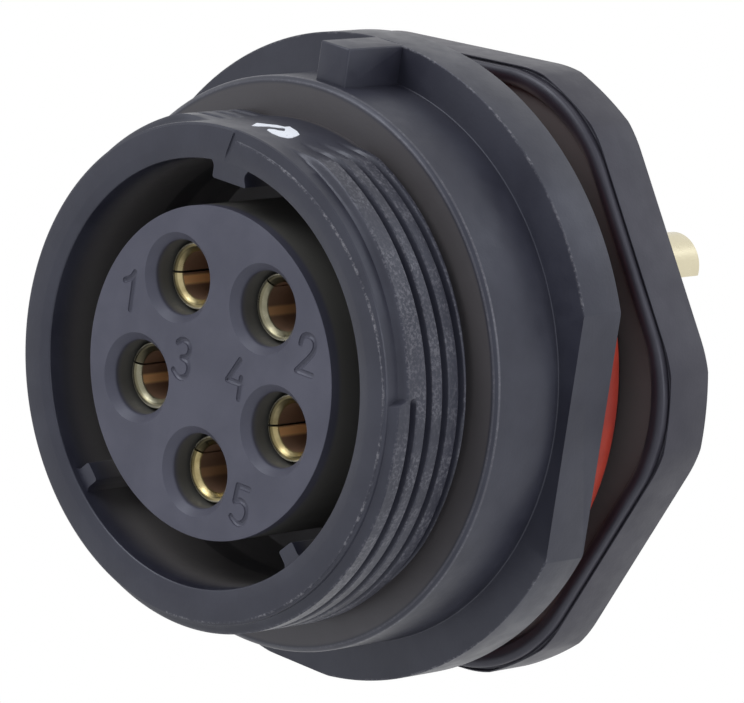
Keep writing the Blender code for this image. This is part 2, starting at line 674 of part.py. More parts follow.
def make_nut(parent):
    """The panel nut: a hexagon with a raised lip in front and a dished floor round its bore."""
    angles = nut_angles()
    body_front = NUT_LIP_HEIGHT
    rear = NUT_LIP_HEIGHT + NUT_BODY_THICKNESS
    lip_outer = NUT_LIP_STEP + NUT_LIP_SLOPE
    lip_inner = lip_outer + NUT_LIP_WIDTH
    floor = body_front + NUT_FLOOR_SETBACK
    rings = [
        hexagon(NUT_REAR_CHAMFER, rear),
        hexagon(0.0, rear - NUT_REAR_CHAMFER),
        hexagon(0.0, body_front),
        hexagon(NUT_LIP_STEP, body_front),
        hexagon(lip_outer - NUT_LIP_WIDTH, NUT_LIP_WIDTH),
        hexagon(lip_outer, 0.0),
        hexagon(lip_inner, NUT_LIP_WIDTH / 2.0),
        hexagon(lip_inner + NUT_LIP_INNER_SLOPE, floor),
        circle(NUT_BORE_RADIUS + NUT_BORE_CHAMFER, floor, angles),
        circle(NUT_BORE_RADIUS, floor + NUT_BORE_CHAMFER, angles),
        circle(NUT_BORE_RADIUS, rear - NUT_BORE_CHAMFER, angles),
        circle(NUT_BORE_RADIUS + NUT_BORE_CHAMFER, rear, angles),
    ]
    mesh = bmesh.new()
    loft(mesh, rings, joined_ends=True)
    nut = new_object("panel_nut", mesh, "black_nylon", parent)
    nut.location = (0.0, NUT_FRONT, 0.0)
    nut.rotation_euler = (0.0, NUT_TURN, 0.0)
    return nut


def main():
    """Builds every piece on the connector's axis."""
    clear_scene()
    axis = bpy.data.objects.new("connector_axis", None)
    bpy.context.scene.collection.objects.link(axis)
    make_shell(axis)
    make_insert(axis)
    make_retainer(axis)
    make_contacts(axis)
    make_seals(axis)
    make_retaining_ring(axis)
    make_nut(axis)


main()
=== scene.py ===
"""Looks of the panel mount connector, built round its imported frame.

The connector's axis is world Y, its mating end faces -Y and its main key is at +Z. A depth
is measured back from the insert's face, and angles go clockwise from the key seen from the
front. Lengths are in metres.
"""
import math

import bmesh
import bpy
from mathutils import Matrix, Vector


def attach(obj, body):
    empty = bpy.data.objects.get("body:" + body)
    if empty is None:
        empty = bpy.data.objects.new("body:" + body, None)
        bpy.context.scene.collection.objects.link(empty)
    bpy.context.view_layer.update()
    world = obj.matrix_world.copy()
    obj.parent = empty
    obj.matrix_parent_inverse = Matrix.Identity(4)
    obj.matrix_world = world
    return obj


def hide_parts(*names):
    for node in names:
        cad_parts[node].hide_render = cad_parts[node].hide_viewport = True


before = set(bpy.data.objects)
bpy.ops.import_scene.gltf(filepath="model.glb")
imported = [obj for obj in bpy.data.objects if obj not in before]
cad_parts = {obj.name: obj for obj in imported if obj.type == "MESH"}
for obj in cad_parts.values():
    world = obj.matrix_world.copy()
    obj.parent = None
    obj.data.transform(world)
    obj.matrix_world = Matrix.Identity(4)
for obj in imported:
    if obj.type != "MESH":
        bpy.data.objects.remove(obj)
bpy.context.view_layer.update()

# Front thread: a ridge on the smooth core, which starts bluntly right of the key
THREAD_RADIUS = 0.0084
THREAD_DEPTH = 0.00032
THREAD_CORE = THREAD_RADIUS - THREAD_DEPTH
THREAD_PITCH = 0.00074
THREAD_ROOT_FLAT = 0.00006
THREAD_FLANK = 0.00013
THREAD_FIRST_VALLEY = 0.00039
THREAD_VALLEYS = 4
THREAD_START = math.radians(80.0)
THREAD_START_LENGTH = math.radians(1.6)
THREAD_START_DEPTH = -0.00013
THREAD_NEXT_TURN = (0.00041, 0.00030)
LAND_HALF_ANGLE = math.radians(11.0)
THREAD_RISE_ANGLE = math.radians(13.0)
RELIEF_START = 0.00310

# Rim: its outer bevel is widest right of the key and fades round to the left
RIM_DEPTH = -0.00042
RIM_BEVEL_WIDE = 0.00037
RIM_BEVEL_NARROW = 0.00009
RIM_BEVEL_FADE = (math.radians(8.0), math.radians(100.0))
RIM_STEP_ANGLE = math.radians(1.5)
MOUTH_BEVEL_WIDTH = 0.00040
MOUTH_BEVEL_DEPTH = 0.00006

# Mouth and keys
MOUTH_RADIUS = 0.00692
CAVITY_DEPTH = 0.0060
MAIN_KEY_WIDTH = 0.00138
MAIN_KEY_HEIGHT = 0.00058
MAIN_KEY_FLARE = 0.00012
SIDE_KEY_WIDTH = 0.00068
SIDE_KEY_HEIGHT = 0.00062
SIDE_KEY_ANGLES = (math.radians(135.0), math.radians(-136.0))
SIDE_KEY_FRONT = -0.00014
KEY_ROOT = 0.0003
FIT_CLEARANCE = 0.0003
KEY_FILLET = 0.00012

# Collar, lug, flange and rear barrel
COLLAR_RADIUS = 0.00938
COLLAR_FRONT = 0.00332
COLLAR_CHAMFER = 0.00014
FLANGE_RADIUS = 0.01066
FLANGE_FRONT = 0.00626
FLANGE_REAR = 0.00806
FLANGE_SIDE_FLAT = 0.00984
FLANGE_BOTTOM_FLAT = 0.01056
LUG_WIDTH = 0.00126
LUG_FRONT = 0.00374
LUG_ROOT = 0.0006
BARREL_RADIUS = 0.0080
BARREL_RELIEF_RADIUS = 0.0074
BARREL_RELIEF_RISE = 0.0006
BARREL_THREAD_START = 0.00946
BARREL_END = 0.01356
BARREL_CHAMFER = 0.0004
BARREL_BORE = 0.0069
BARREL_PITCH = 0.0010
BARREL_THREAD_DEPTH = 0.00045
BARREL_THREAD_ROWS = 60
SHOULDER_REAR = 0.0072
GROOVE_FRONT = 0.0122
GROOVE_REAR = 0.0130
GROOVE_RADIUS = 0.0072

# Insert, retainer and contacts
INSERT_RADIUS = 0.0054
INSERT_FLANGE_RADIUS = 0.0066
INSERT_FLANGE_FRONT = 0.0075
INSERT_REAR = 0.0097
INSERT_GROOVE = (0.00805, 0.00915, 0.0058)
RETAINER_FRONT = 0.0098
RETAINER_REAR = 0.0122
RETAINER_EDGE = 0.0002
CONTACT_CIRCLE = 0.003285
HOLE_RADIUS = 0.001215
HOLE_CHAMFER = 0.00026
CONTACT_RECESS = 0.00087
CONTACT_RADIUS = 0.00109
CONTACT_BORE = 0.00078
CONTACT_LIP = 0.00018
CONTACT_LINE = 0.00096
CONTACT_GAP = (0.00003, 0.00006)
CONTACT_RIM = (CONTACT_LINE + 0.00006, CONTACT_LINE + 0.00009)
PRONG_EDGE = 0.00006
# Painted reflection along each contact's bore: its drop below the contact's centre and its half width
BORE_REFLECTION_DROP = 0.00034
BORE_REFLECTION_HALF_WIDTH = 0.00014
CONTACT_BORE_END = 0.00667
DRILL_POINT_ANGLE = math.radians(30.0)
CONTACT_SHOULDER = (0.00875, 0.00965, 0.00150)
SOCKET_PLATING_END = (0.0072, 0.0078)
# Where the bore's painted brown shade ends
BORE_SHADE_END = (0.0074, 0.0078)
SLIT_WIDTH = 0.00007
SLIT_LENGTH = 0.0045
BUCKET_END = 0.0203
BUCKET_BORE_DEPTH = 0.0034
BUCKET_OPENING = 0.0030
BUCKET_SLOPE = math.radians(35.0)
BUCKET_TURN = math.radians(235.0)
# Each contact: its place round the axis and its slit's turn in degrees, how much painted shade darkens its
# prong past the slit, how silvery its plating is, and how bright the painted reflection in its bore is
CONTACTS = {
    "contact_1": (-36.0, -97.0, 0.40, 0.15, 1.00),
    "contact_2": (36.0, -48.0, 0.88, 0.80, 0.55),
    "contact_3": (-108.0, -80.0, 0.90, 0.85, 0.90),
    "contact_4": (108.0, -101.0, 0.62, 0.10, 1.00),
    "contact_5": (180.0, -66.0, 0.90, 0.05, 0.30),
}

# Nut and panel seal
NUT_FLAT = 0.01013
NUT_CORNER = 0.01089
NUT_CORNER_FILLET = 0.0045
NUT_BODY_FRONT = 0.01004
NUT_REAR = 0.01192
NUT_BEAD_HEIGHT = 0.00030
NUT_BEAD_OUTER = 0.00010
NUT_BEAD_CREST = 0.00030
NUT_BEAD_INNER = 0.00064
NUT_BEAD_FILLET = 0.0051
NUT_FLOOR = 0.01016
NUT_GROOVE_OUTER = 0.00004
NUT_GROOVE_DEPTH = 0.00008
NUT_RAGGED = 0.000022
NUT_BORE = 0.0083
NUT_BORE_CHAMFER = 0.0003
NUT_BORE_FACE = 0.0005
NUT_SAG = 0.00012
NUT_TURN = math.radians(-4.5)
SEAL_RADIUS = 0.00880
SEAL_DEPTH = 0.00884
SEAL_SECTION = 0.00068

# Moulding groove across the rim at the key: its two ends as (side, height), and half its section
WITNESS_INNER = (-0.00024, 0.00674)
WITNESS_OUTER = (0.00014, 0.0081)
WITNESS_HALF_WIDTH = 0.00009
WITNESS_HALF_DEPTH = 0.00005

# Tint of the plastics' own shine
SKIN_TINT = (0.84, 0.88, 1.0)

# Worn places of the shell: the thread's crests, the rim's bevel and three turned edges
CREST_BAND = (0.00008, 0.00002)
CREST_FADE = 0.0001
WORN_GREY = (0.15, 0.15, 0.17)
SHELL_WEAR = (
    {"kind": "crest", "radius": THREAD_RADIUS, "start": RIM_DEPTH, "end": RELIEF_START,
     "strength": 0.65, "tint": (0.12, 0.12, 0.142)},
    {"kind": "bevel", "width": 0.00007, "strength": 0.9, "tint": WORN_GREY},
    {"kind": "edge", "radius": COLLAR_RADIUS - COLLAR_CHAMFER, "depth": COLLAR_FRONT, "width": 0.00006,
     "strength": 0.6, "solid": 0.45, "tint": (0.10, 0.10, 0.12)},
    {"kind": "edge", "radius": COLLAR_RADIUS, "depth": COLLAR_FRONT + COLLAR_CHAMFER, "width": 0.00006,
     "strength": 0.8, "solid": 0.45, "tint": (0.12, 0.12, 0.14)},
    {"kind": "edge", "radius": FLANGE_RADIUS, "depth": FLANGE_FRONT, "width": 0.00009,
     "strength": 0.7, "tint": WORN_GREY},
)

# Hollows lightened with painted light, which lifts the shade in them: inside a radius or the nut's flats,
# behind a depth and before an end. Each limit fades between two values.
MOUTH_PAINTED_FILL = {
    "radius": (MOUTH_RADIUS, MOUTH_RADIUS + 0.00008), "depth": (-0.0001, 0.0014),
    "end": (CAVITY_DEPTH + 0.0004, SHOULDER_REAR), "tint": (0.128, 0.122, 0.124),
}
COLLAR_PAINTED_FILL = {
    "radius": (COLLAR_RADIUS - 0.00030, COLLAR_RADIUS - 0.00015), "depth": (0.0031, 0.0032),
    "end": (0.0040, 0.0042), "tint": (0.060, 0.056, 0.060),
}
NUT_PAINTED_FILL = {
    "radius": (0.0100, 0.0103), "flat": (NUT_FLAT - 0.00064, NUT_FLAT - 0.00044),
    "depth": (0.0094, 0.0095), "end": (0.0105, 0.0107), "tint": (0.110, 0.100, 0.102),
}
HOLE_PAINTED_FILL = {
    "radius": (0.0060, 0.0062), "depth": (0.00026, 0.0005),
    "end": (CAVITY_DEPTH, SHOULDER_REAR), "tint": (0.082, 0.081, 0.076),
}

# Fineness of the meshes
COLUMNS = 300
INSERT_COLUMNS = 240
RETAINER_COLUMNS = 160
HOLE_COLUMNS = 72
CONTACT_COLUMNS = 80
NUT_COLUMNS = 432
SEAL_COLUMNS = 200
SEAL_SECTION_COLUMNS = 32
STROKE_COLUMNS = 10
SMALLEST_STEP = 0.000004
CUT_OVERRUN = 0.0005
EDGE_ROUND = 0.00006
SHARP_ANGLE = math.radians(32.0)

# Photograph's camera, fitted to the circles of the insert, mouth, thread and flange
CAMERA_AZIMUTH = math.radians(41.35)
CAMERA_ELEVATION = math.radians(13.90)
CAMERA_ROLL = math.radians(8.39)
CAMERA_DISTANCE = 0.19179
CAMERA_RIGHT = 0.005227
CAMERA_UP = 0.000702
CAMERA_LENS_MM = 290.3
CAMERA_SENSOR_MM = 36.0

# Lamps: place, size, power and colour
LAMPS = {
    "key_lamp": ((-0.16, -0.26, 0.30), 0.22, 0.9, (1.0, 1.0, 1.0)),
    "side_lamp": ((0.34, 0.02, 0.10), 0.20, 0.4, (1.0, 1.0, 1.0)),
    "back_lamp": ((0.147, 0.307, 0.248), 0.14, 0.10, (0.88, 0.92, 1.0)),
}
LAMP_AIM = (0.0, 0.006, 0.0)
FLOOR_HEIGHT = -0.045
FLOOR_REACH = 1.5


def around(radius, angle, depth):
    """A point at a radius and clockwise angle from the key."""
    return (radius * math.sin(angle), depth, radius * math.cos(angle))


def even_angles(count):
    """Evenly spaced angles of a full turn."""
    return [math.tau * step / count for step in range(count)]


def blend(first, second, share):
    """A value between two others."""
    return first + (second - first) * share


def clamp(value):
    """A value held between 0 and 1."""
    return min(max(value, 0.0), 1.0)


def smooth_share(value, start, end):
    """A share that rises smoothly from 0 at the start to 1 at the end."""
    share = clamp((value - start) / (end - start))
    return share * share * (3.0 - 2.0 * share)


def rounded(section, radius, steps=3, closed=False):
    """A section of (radius, depth) points whose corners are rounded."""
    points = []
    count = len(section)
    for index, corner in enumerate(section):
        if not closed and index in (0, count - 1):
            points.append(corner)
            continue
        here = Vector(corner)
        before = Vector(section[index - 1]) - here
        after = Vector(section[(index + 1) % count]) - here
        reach = min(radius, before.length * 0.45, after.length * 0.45)
        start = here + before.normalized() * reach
        end = here + after.normalized() * reach
        for step in range(steps + 1):
            share = step / steps
            points.append(tuple(start.lerp(here, share).lerp(here.lerp(end, share), share)))
    return points


def turned(section, angles):
    """Rings of a turned form."""
    return [[around(radius, angle, depth) for angle in angles] for radius, depth in section]


def skin(rings, joined_ends=False, capped=True):
    """A bmesh over rings of equal length, closed round a bore or capped at its ends."""
    mesh = bmesh.new()
    rows = [[mesh.verts.new(point) for point in ring] for ring in rings]
    count = len(rows[0])
    pairs = list(zip(rows, rows[1:]))
    if joined_ends:
        pairs.append((rows[-1], rows[0]))
    elif capped:
        mesh.faces.new(rows[0])
        mesh.faces.new(reversed(rows[-1]))
    for near, far in pairs:
        for here in range(count):
            there = (here + 1) % count
            mesh.faces.new((near[here], far[here], far[there], near[there]))
    return mesh


def join_meshes(meshes):
    """One bmesh that holds the separate bodies of several."""
    whole = bmesh.new()
    for mesh in meshes:
        spare = bpy.data.meshes.new("spare")
        mesh.to_mesh(spare)
        mesh.free()
        whole.from_mesh(spare)
        bpy.data.meshes.remove(spare)
    return whole


def new_object(name, mesh, material=None):
    """An object from a bmesh, smooth apart from its sharp edges."""
    bmesh.ops.recalc_face_normals(mesh, faces=mesh.faces)
    data = bpy.data.meshes.new(name)
    mesh.to_mesh(data)
    mesh.free()
    data.shade_smooth()
    data.set_sharp_from_angle(angle=SHARP_ANGLE)
    item = bpy.data.objects.new(name, data)
    bpy.context.scene.collection.objects.link(item)
    if material:
        data.materials.append(material)
    return item


def carve(target, steps):
    """Applies Boolean steps of (operation, tool) to an object, and removes the tools."""
    for operation, tool in steps:
        change = target.modifiers.new(tool.name, "BOOLEAN")
        change.operation = operation
        change.solver = "EXACT"
        change.use_self = True
        change.object = tool
    bpy.context.view_layer.update()
    graph = bpy.context.evaluated_depsgraph_get()
    data = bpy.data.meshes.new_from_object(target.evaluated_get(graph))
    target.modifiers.clear()
    old = target.data
    target.data = data
    bpy.data.meshes.remove(old)
    data.shade_smooth()
    data.set_sharp_from_angle(angle=SHARP_ANGLE)
    for _, tool in steps:
        bpy.data.objects.remove(tool)
    return target


def block(low, high, rounding=0.0):
    """A bmesh block between two corners, with its edges rounded."""
    mesh = bmesh.new()
    size = [end - start for start, end in zip(low, high)]
    centre = [(end + start) / 2.0 for start, end in zip(low, high)]
    bmesh.ops.create_cube(mesh, size=1.0, matrix=Matrix.Translation(centre) @ Matrix.Diagonal((*size, 1.0)))
    if rounding:
        bmesh.ops.bevel(
            mesh, geom=mesh.edges[:], offset=rounding, segments=3, affect="EDGES", profile=0.5,
        )
    return mesh


def turn(mesh, angle):
    """Turns a bmesh about the connector's axis."""
    bmesh.ops.rotate(mesh, verts=mesh.verts, matrix=Matrix.Rotation(angle, 3, "Y"))
    return mesh


class Shader:
    """A short way to write a procedural material."""

    def __init__(self, name, metallic=0.0):
        self.material = bpy.data.materials.new(name)
        self.material.use_nodes = True
        self.tree = self.material.node_tree
        self.main = self.tree.nodes["Principled BSDF"]
        self.main.inputs["Metallic"].default_value = metallic
        self.place = self.add("ShaderNodeTexCoord").outputs["Object"]
        parts = self.add("ShaderNodeSeparateXYZ")
        self.link(self.place, parts.inputs[0])
        self.side, self.depth, self.height = parts.outputs
        across = self.times(self.side, self.side)
        upward = self.times(self.height, self.height)
        self.radius = self.math("SQRT", self.math("ADD", across, upward))

    def add(self, kind, **settings):
        node = self.tree.nodes.new(kind)
        for name, value in settings.items():
            setattr(node, name, value)
        return node

    def link(self, source, target):
        self.tree.links.new(source, target)

    def feed(self, socket, value):
        """Links a socket to another, or sets its value."""
        if isinstance(value, bpy.types.NodeSocket):
            self.link(value, socket)
        else:
            socket.default_value = value

    def math(self, operation, first, second=0.0):
        node = self.add("ShaderNodeMath", operation=operation)
        self.feed(node.inputs[0], first)
        if len(node.inputs) > 1:
            self.feed(node.inputs[1], second)
        return node.outputs[0]

    def times(self, first, second):
        return self.math("MULTIPLY", first, second)

    def ramp(self, value, low, high, out_low=0.0, out_high=1.0):
        """Maps a value from one range to another, held at both ends."""
        node = self.add("ShaderNodeMapRange", interpolation_type="SMOOTHSTEP")
        self.feed(node.inputs["Value"], value)
        ends = {"From Min": low, "From Max": high, "To Min": out_low, "To Max": out_high}
        for name, number in ends.items():
            self.feed(node.inputs[name], number)
        return node.outputs[0]

    def noise(self, scale, detail=3.0, roughness=0.55):
        node = self.add("ShaderNodeTexNoise")
        self.link(self.place, node.inputs["Vector"])
        node.inputs["Scale"].default_value = scale
        node.inputs["Detail"].default_value = detail
        node.inputs["Roughness"].default_value = roughness
        return node.outputs["Fac"]

    def mix(self, share, first, second):
        """Mixes two colours, each a socket or three numbers."""
        node = self.add("ShaderNodeMix", data_type="RGBA")
        self.feed(node.inputs[0], share)
        for socket, colour in ((node.inputs[6], first), (node.inputs[7], second)):
            self.feed(socket, colour if isinstance(colour, bpy.types.NodeSocket) else (*colour, 1.0))
        return node.outputs[2]

    def specks(self, scale, size, keep):
        """Sparse round specks: a share of the cells of a pattern each hold one."""
        cells = self.add("ShaderNodeTexVoronoi")
        self.link(self.place, cells.inputs["Vector"])
        cells.inputs["Scale"].default_value = scale
        near = self.ramp(cells.outputs["Distance"], size * 0.5, size, 1.0, 0.0)
        pick = self.add("ShaderNodeSeparateColor")
        self.link(cells.outputs["Color"], pick.inputs[0])
        chosen = self.math("LESS_THAN", pick.outputs[0], keep)
        return self.times(near, chosen)

    def edge_line(self, radius, depth, width):
        """A mask round a turned edge at one radius and depth."""
        out = self.math("SUBTRACT", self.radius, radius)
        back = self.math("SUBTRACT", self.depth, depth)
        square = self.math("ADD", self.times(out, out), self.times(back, back))
        return self.ramp(self.math("SQRT", square), width * 0.4, width, 1.0, 0.0)

    def hexagon(self):
        """How far out a place is, measured square to the nearest of the nut's flats."""
        low = self.math("ADD", self.height, NUT_SAG)
        farthest = 0.0
        for step in range(3):
            normal = NUT_TURN + step * math.pi / 3.0
            out = self.math(
                "ADD", self.times(self.side, math.sin(normal)), self.times(low, math.cos(normal)))
            farthest = self.math("MAXIMUM", farthest, self.math("ABSOLUTE", out))
        return farthest

    def surface(self, colour, scale, low, high):
        """Links the colour, and a roughness that varies between two values."""
        self.link(colour, self.main.inputs["Base Color"])
        rough = self.ramp(self.noise(scale), 0.3, 0.7, low, high)
        self.link(rough, self.main.inputs["Roughness"])

    def bump(self, height, distance, strength):
        node = self.add("ShaderNodeBump")
        node.inputs["Strength"].default_value = strength
        node.inputs["Distance"].default_value = distance
        self.feed(node.inputs["Height"], height)
        self.link(node.outputs[0], self.main.inputs["Normal"])


def moulded_plastic(name, dark, light, roughness, wear=(), painted_fills=()):
    """Moulded nylon: faint mottling, a fine grain, dust, worn turned edges, and hollows lifted with painted
    light.
    """
    shader = Shader(name)
    shader.main.inputs["Specular Tint"].default_value = (*SKIN_TINT, 1.0)
    mottle = shader.noise(420.0, 4.0)
    colour = shader.mix(shader.ramp(mottle, 0.35, 0.68), dark, light)
    scuff = shader.ramp(shader.noise(9000.0, 3.0, 0.7), 0.40, 0.66)
    broad = shader.ramp(shader.noise(900.0, 2.0), 0.36, 0.60, 0.35, 1.0)
    scuff = shader.times(scuff, broad)
    # Painted light: each hollow's colour is drawn towards a lighter tint, lifting the shade there.
    for place in painted_fills:
        mask = shader.ramp(shader.radius, *place["radius"], 1.0, 0.0)
        mask = shader.times(mask, shader.ramp(shader.depth, *place["depth"]))
        mask = shader.times(mask, shader.ramp(shader.depth, *place["end"], 1.0, 0.0))
        if "flat" in place:
            mask = shader.times(mask, shader.ramp(shader.hexagon(), *place["flat"], 1.0, 0.0))
        colour = shader.mix(mask, colour, place["tint"])
    for mask, strength, solid, tint in wear_masks(shader, wear):
        broken = shader.ramp(scuff, 0.0, 1.0, solid, 1.0)
        share = shader.times(shader.times(mask, broken), strength)
        colour = shader.mix(share, colour, tint)
    dust = shader.specks(900.0, 0.10, 0.02)
    colour = shader.mix(shader.times(dust, 0.5), colour, (0.38, 0.38, 0.38))
    shader.surface(colour, 1500.0, roughness - 0.03, roughness + 0.05)
    grain = shader.math("ADD", shader.noise(9000.0), shader.times(shader.noise(1800.0, 2.0), 0.4))
    shader.bump(grain, 0.000008, 0.5)
    return shader.material


def wear_masks(shader, wear):
    """Masks of the worn places: turned edges, the thread's crests and the rim's bevel."""
    for place in wear:
        if place["kind"] == "edge":
            mask = shader.edge_line(place["radius"], place["depth"], place["width"])
        elif place["kind"] == "crest":
            high = shader.ramp(shader.radius, *(place["radius"] - below for below in CREST_BAND))
            begin = shader.ramp(shader.depth, place["start"], place["start"] + CREST_FADE)
            end = shader.ramp(shader.depth, place["end"], place["end"] + CREST_FADE, 1.0, 0.0)
            mask = shader.times(high, shader.times(begin, end))
        else:
            angle = shader.math("ARCTAN2", shader.side, shader.height)
            fade = shader.ramp(angle, *RIM_BEVEL_FADE, 1.0, 0.0)
            begin = shader.ramp(angle, 0.0, RIM_STEP_ANGLE)
            wide = shader.times(fade, begin)
            bevel = shader.ramp(wide, 0.0, 1.0, RIM_BEVEL_NARROW, RIM_BEVEL_WIDE)
            edge = shader.math("SUBTRACT", THREAD_CORE, bevel)
            mask = shader.times(begin, shader.edge_line(edge, RIM_DEPTH, place["width"]))
        yield mask, place["strength"], place.get("solid", 0.0), place["tint"]


def gold(name, centre, slit_turn, prong_shade, silvery, shine):
    """Gold plating: a bright rim, a dark gap, painted shade on the prong past the slit, and a bore painted
    brown as shade, with a painted reflection along it.
    """
    shader = Shader(name)
    side = shader.math("SUBTRACT", shader.side, centre.x)
    height = shader.math("SUBTRACT", shader.height, centre.z)
    across = shader.math("ADD", shader.times(side, side), shader.times(height, height))
    radius = shader.math("SQRT", across)
    past = shader.math(
        "SUBTRACT", shader.times(side, math.cos(slit_turn)), shader.times(height, math.sin(slit_turn)))
    tone = shader.ramp(shader.noise(1600.0), 0.35, 0.7)
    colour = shader.mix(tone, (0.33, 0.265, 0.125), (0.50, 0.42, 0.22))
    worn = shader.mix(tone, (0.20, 0.20, 0.155), (0.32, 0.32, 0.26))
    colour = shader.mix(silvery, colour, worn)
    from_line = shader.math("ABSOLUTE", shader.math("SUBTRACT", radius, CONTACT_LINE))
    gap = shader.ramp(from_line, *CONTACT_GAP, 0.90 - 0.35 * silvery, 0.0)
    gap = shader.times(gap, shader.ramp(shader.noise(700.0, 2.0), 0.35, 0.60, 0.45, 1.0))
    colour = shader.mix(gap, colour, (0.07, 0.058, 0.026))
    # Painted shade darkens the prong past the slit.
    shaded_prong = shader.times(shader.ramp(past, 0.0, PRONG_EDGE), prong_shade)
    colour = shader.mix(shaded_prong, colour, (0.055, 0.048, 0.030))
    rim = shader.times(shader.ramp(radius, *CONTACT_RIM), 0.85)
    colour = shader.mix(rim, colour, (0.82, 0.78, 0.62))
    colour = shader.mix(shader.ramp(shader.depth, *SOCKET_PLATING_END), colour, (0.70, 0.64, 0.46))
    # The bore is painted brown, standing in for the dim light inside the gold tube, with a painted
    # reflection along its wall; its metal is lessened so the painted colour shows.
    lip_rear = [CONTACT_RECESS + CONTACT_LIP * share for share in (0.9, 1.3)]
    bore = shader.ramp(radius, CONTACT_BORE, CONTACT_RADIUS * 0.9, 1.0, 0.0)
    bore = shader.times(bore, shader.ramp(shader.depth, *lip_rear))
    bore = shader.times(bore, shader.ramp(shader.depth, *BORE_SHADE_END, 1.0, 0.0))
    from_bore_reflection = shader.math("ABSOLUTE", shader.math("ADD", height, BORE_REFLECTION_DROP))
    bore_reflection = shader.ramp(from_bore_reflection, BORE_REFLECTION_HALF_WIDTH * 0.6, BORE_REFLECTION_HALF_WIDTH * 1.3, shine, 0.0)
    inner = shader.mix(bore_reflection, (0.22, 0.135, 0.090), (1.0, 0.58, 0.26))
    colour = shader.mix(bore, colour, inner)
    shader.link(colour, shader.main.inputs["Base Color"])
    shader.link(shader.ramp(bore, 0.0, 1.0, 1.0, 0.35), shader.main.inputs["Metallic"])
    rough = shader.ramp(shader.noise(3000.0), 0.3, 0.7, 0.26, 0.40)
    rough = shader.math("ADD", rough, shader.times(bore, 0.20))
    shader.link(rough, shader.main.inputs["Roughness"])
    return shader.material


def rubber(name, dark, light, roughness):
    """Silicone or rubber with a soft skin and a little dust."""
    shader = Shader(name)
    shader.main.inputs["Specular IOR Level"].default_value = 0.25
    colour = shader.mix(shader.ramp(shader.noise(500.0), 0.35, 0.65), dark, light)
    dust = shader.specks(1100.0, 0.12, 0.03)
    colour = shader.mix(shader.times(dust, 0.5), colour, (0.5, 0.46, 0.44))
    shader.surface(colour, 1200.0, roughness - 0.05, roughness + 0.08)
    shader.bump(shader.noise(7000.0), 0.000006, 0.4)
    return shader.material


def spring_steel(name):
    """Dark oiled spring steel."""
    shader = Shader(name, metallic=1.0)
    colour = shader.mix(shader.noise(900.0), (0.16, 0.16, 0.17), (0.34, 0.34, 0.35))
    shader.surface(colour, 2500.0, 0.28, 0.45)
    shader.bump(shader.noise(6000.0), 0.000005, 0.4)
    return shader.material


def paint(name):
    """White stencil paint, thin and a little speckled."""
    shader = Shader(name)
    bare = shader.ramp(shader.noise(5200.0, 4.0), 0.30, 0.38)
    colour = shader.mix(bare, (0.22, 0.22, 0.25), (0.80, 0.84, 0.92))
    shader.surface(colour, 3000.0, 0.45, 0.6)
    shader.bump(shader.noise(8000.0), 0.000008, 0.5)
    return shader.material


def thread_columns():
    """Angles of the shell's columns, closer together where the thread starts."""
    extra = [THREAD_START + THREAD_START_LENGTH * share for share in (-0.2, 0.0, 0.25, 0.5, 0.75, 1.0)]
    extra += [RIM_STEP_ANGLE * share for share in (0.2, 0.5, 0.8)]
    even = even_angles(COLUMNS)
    spacing = math.tau / COLUMNS
    kept = [angle for angle in even if all(abs(angle - other) > spacing * 0.3 for other in extra)]
    return sorted(kept + extra)


def ridge_front_depth(angle):
    """Depth where the thread's ridge first rises from the core."""
    started = smooth_share(angle, THREAD_START, THREAD_START + THREAD_START_LENGTH)
    before = blend(*THREAD_NEXT_TURN, clamp(angle / THREAD_START))
    after = THREAD_START_DEPTH + THREAD_PITCH * (angle - THREAD_START) / math.tau
    return blend(before, after, started)


def valley_depths(angle):
    """Depths of the front thread's valleys at an angle: a right-hand helix."""
    share = angle / math.tau
    return [THREAD_FIRST_VALLEY + THREAD_PITCH * (index + share) for index in range(THREAD_VALLEYS)]


def thread_rows(angle):
    """Depths of the rows in the threaded stretch at one angle."""
    half_valley = THREAD_ROOT_FLAT / 2.0 + THREAD_FLANK
    front = ridge_front_depth(angle)
    rows = [front - THREAD_FLANK * share for share in (1.1, 0.8, 0.5, 0.2, -0.1)]
    rows += [RELIEF_START - THREAD_FLANK * share for share in (1.0, 0.5, 0.0)]
    for valley in valley_depths(angle):
        for share in (-1.15, -0.9, -0.65, -0.4, -0.15, 0.15, 0.4, 0.65, 0.9, 1.15):
            rows.append(valley + share * half_valley)
    rows.sort()
    count = len(rows)
    for index in range(count):
        lowest = RIM_DEPTH + RIM_BEVEL_NARROW * 1.3 + SMALLEST_STEP * index
        highest = COLLAR_FRONT - SMALLEST_STEP * (count - index)
        rows[index] = min(max(rows[index], lowest), highest)
    for index in range(1, count):
        rows[index] = max(rows[index], rows[index - 1] + SMALLEST_STEP)
    for index in reversed(range(count - 1)):
        rows[index] = min(rows[index], rows[index + 1] - SMALLEST_STEP)
    return rows


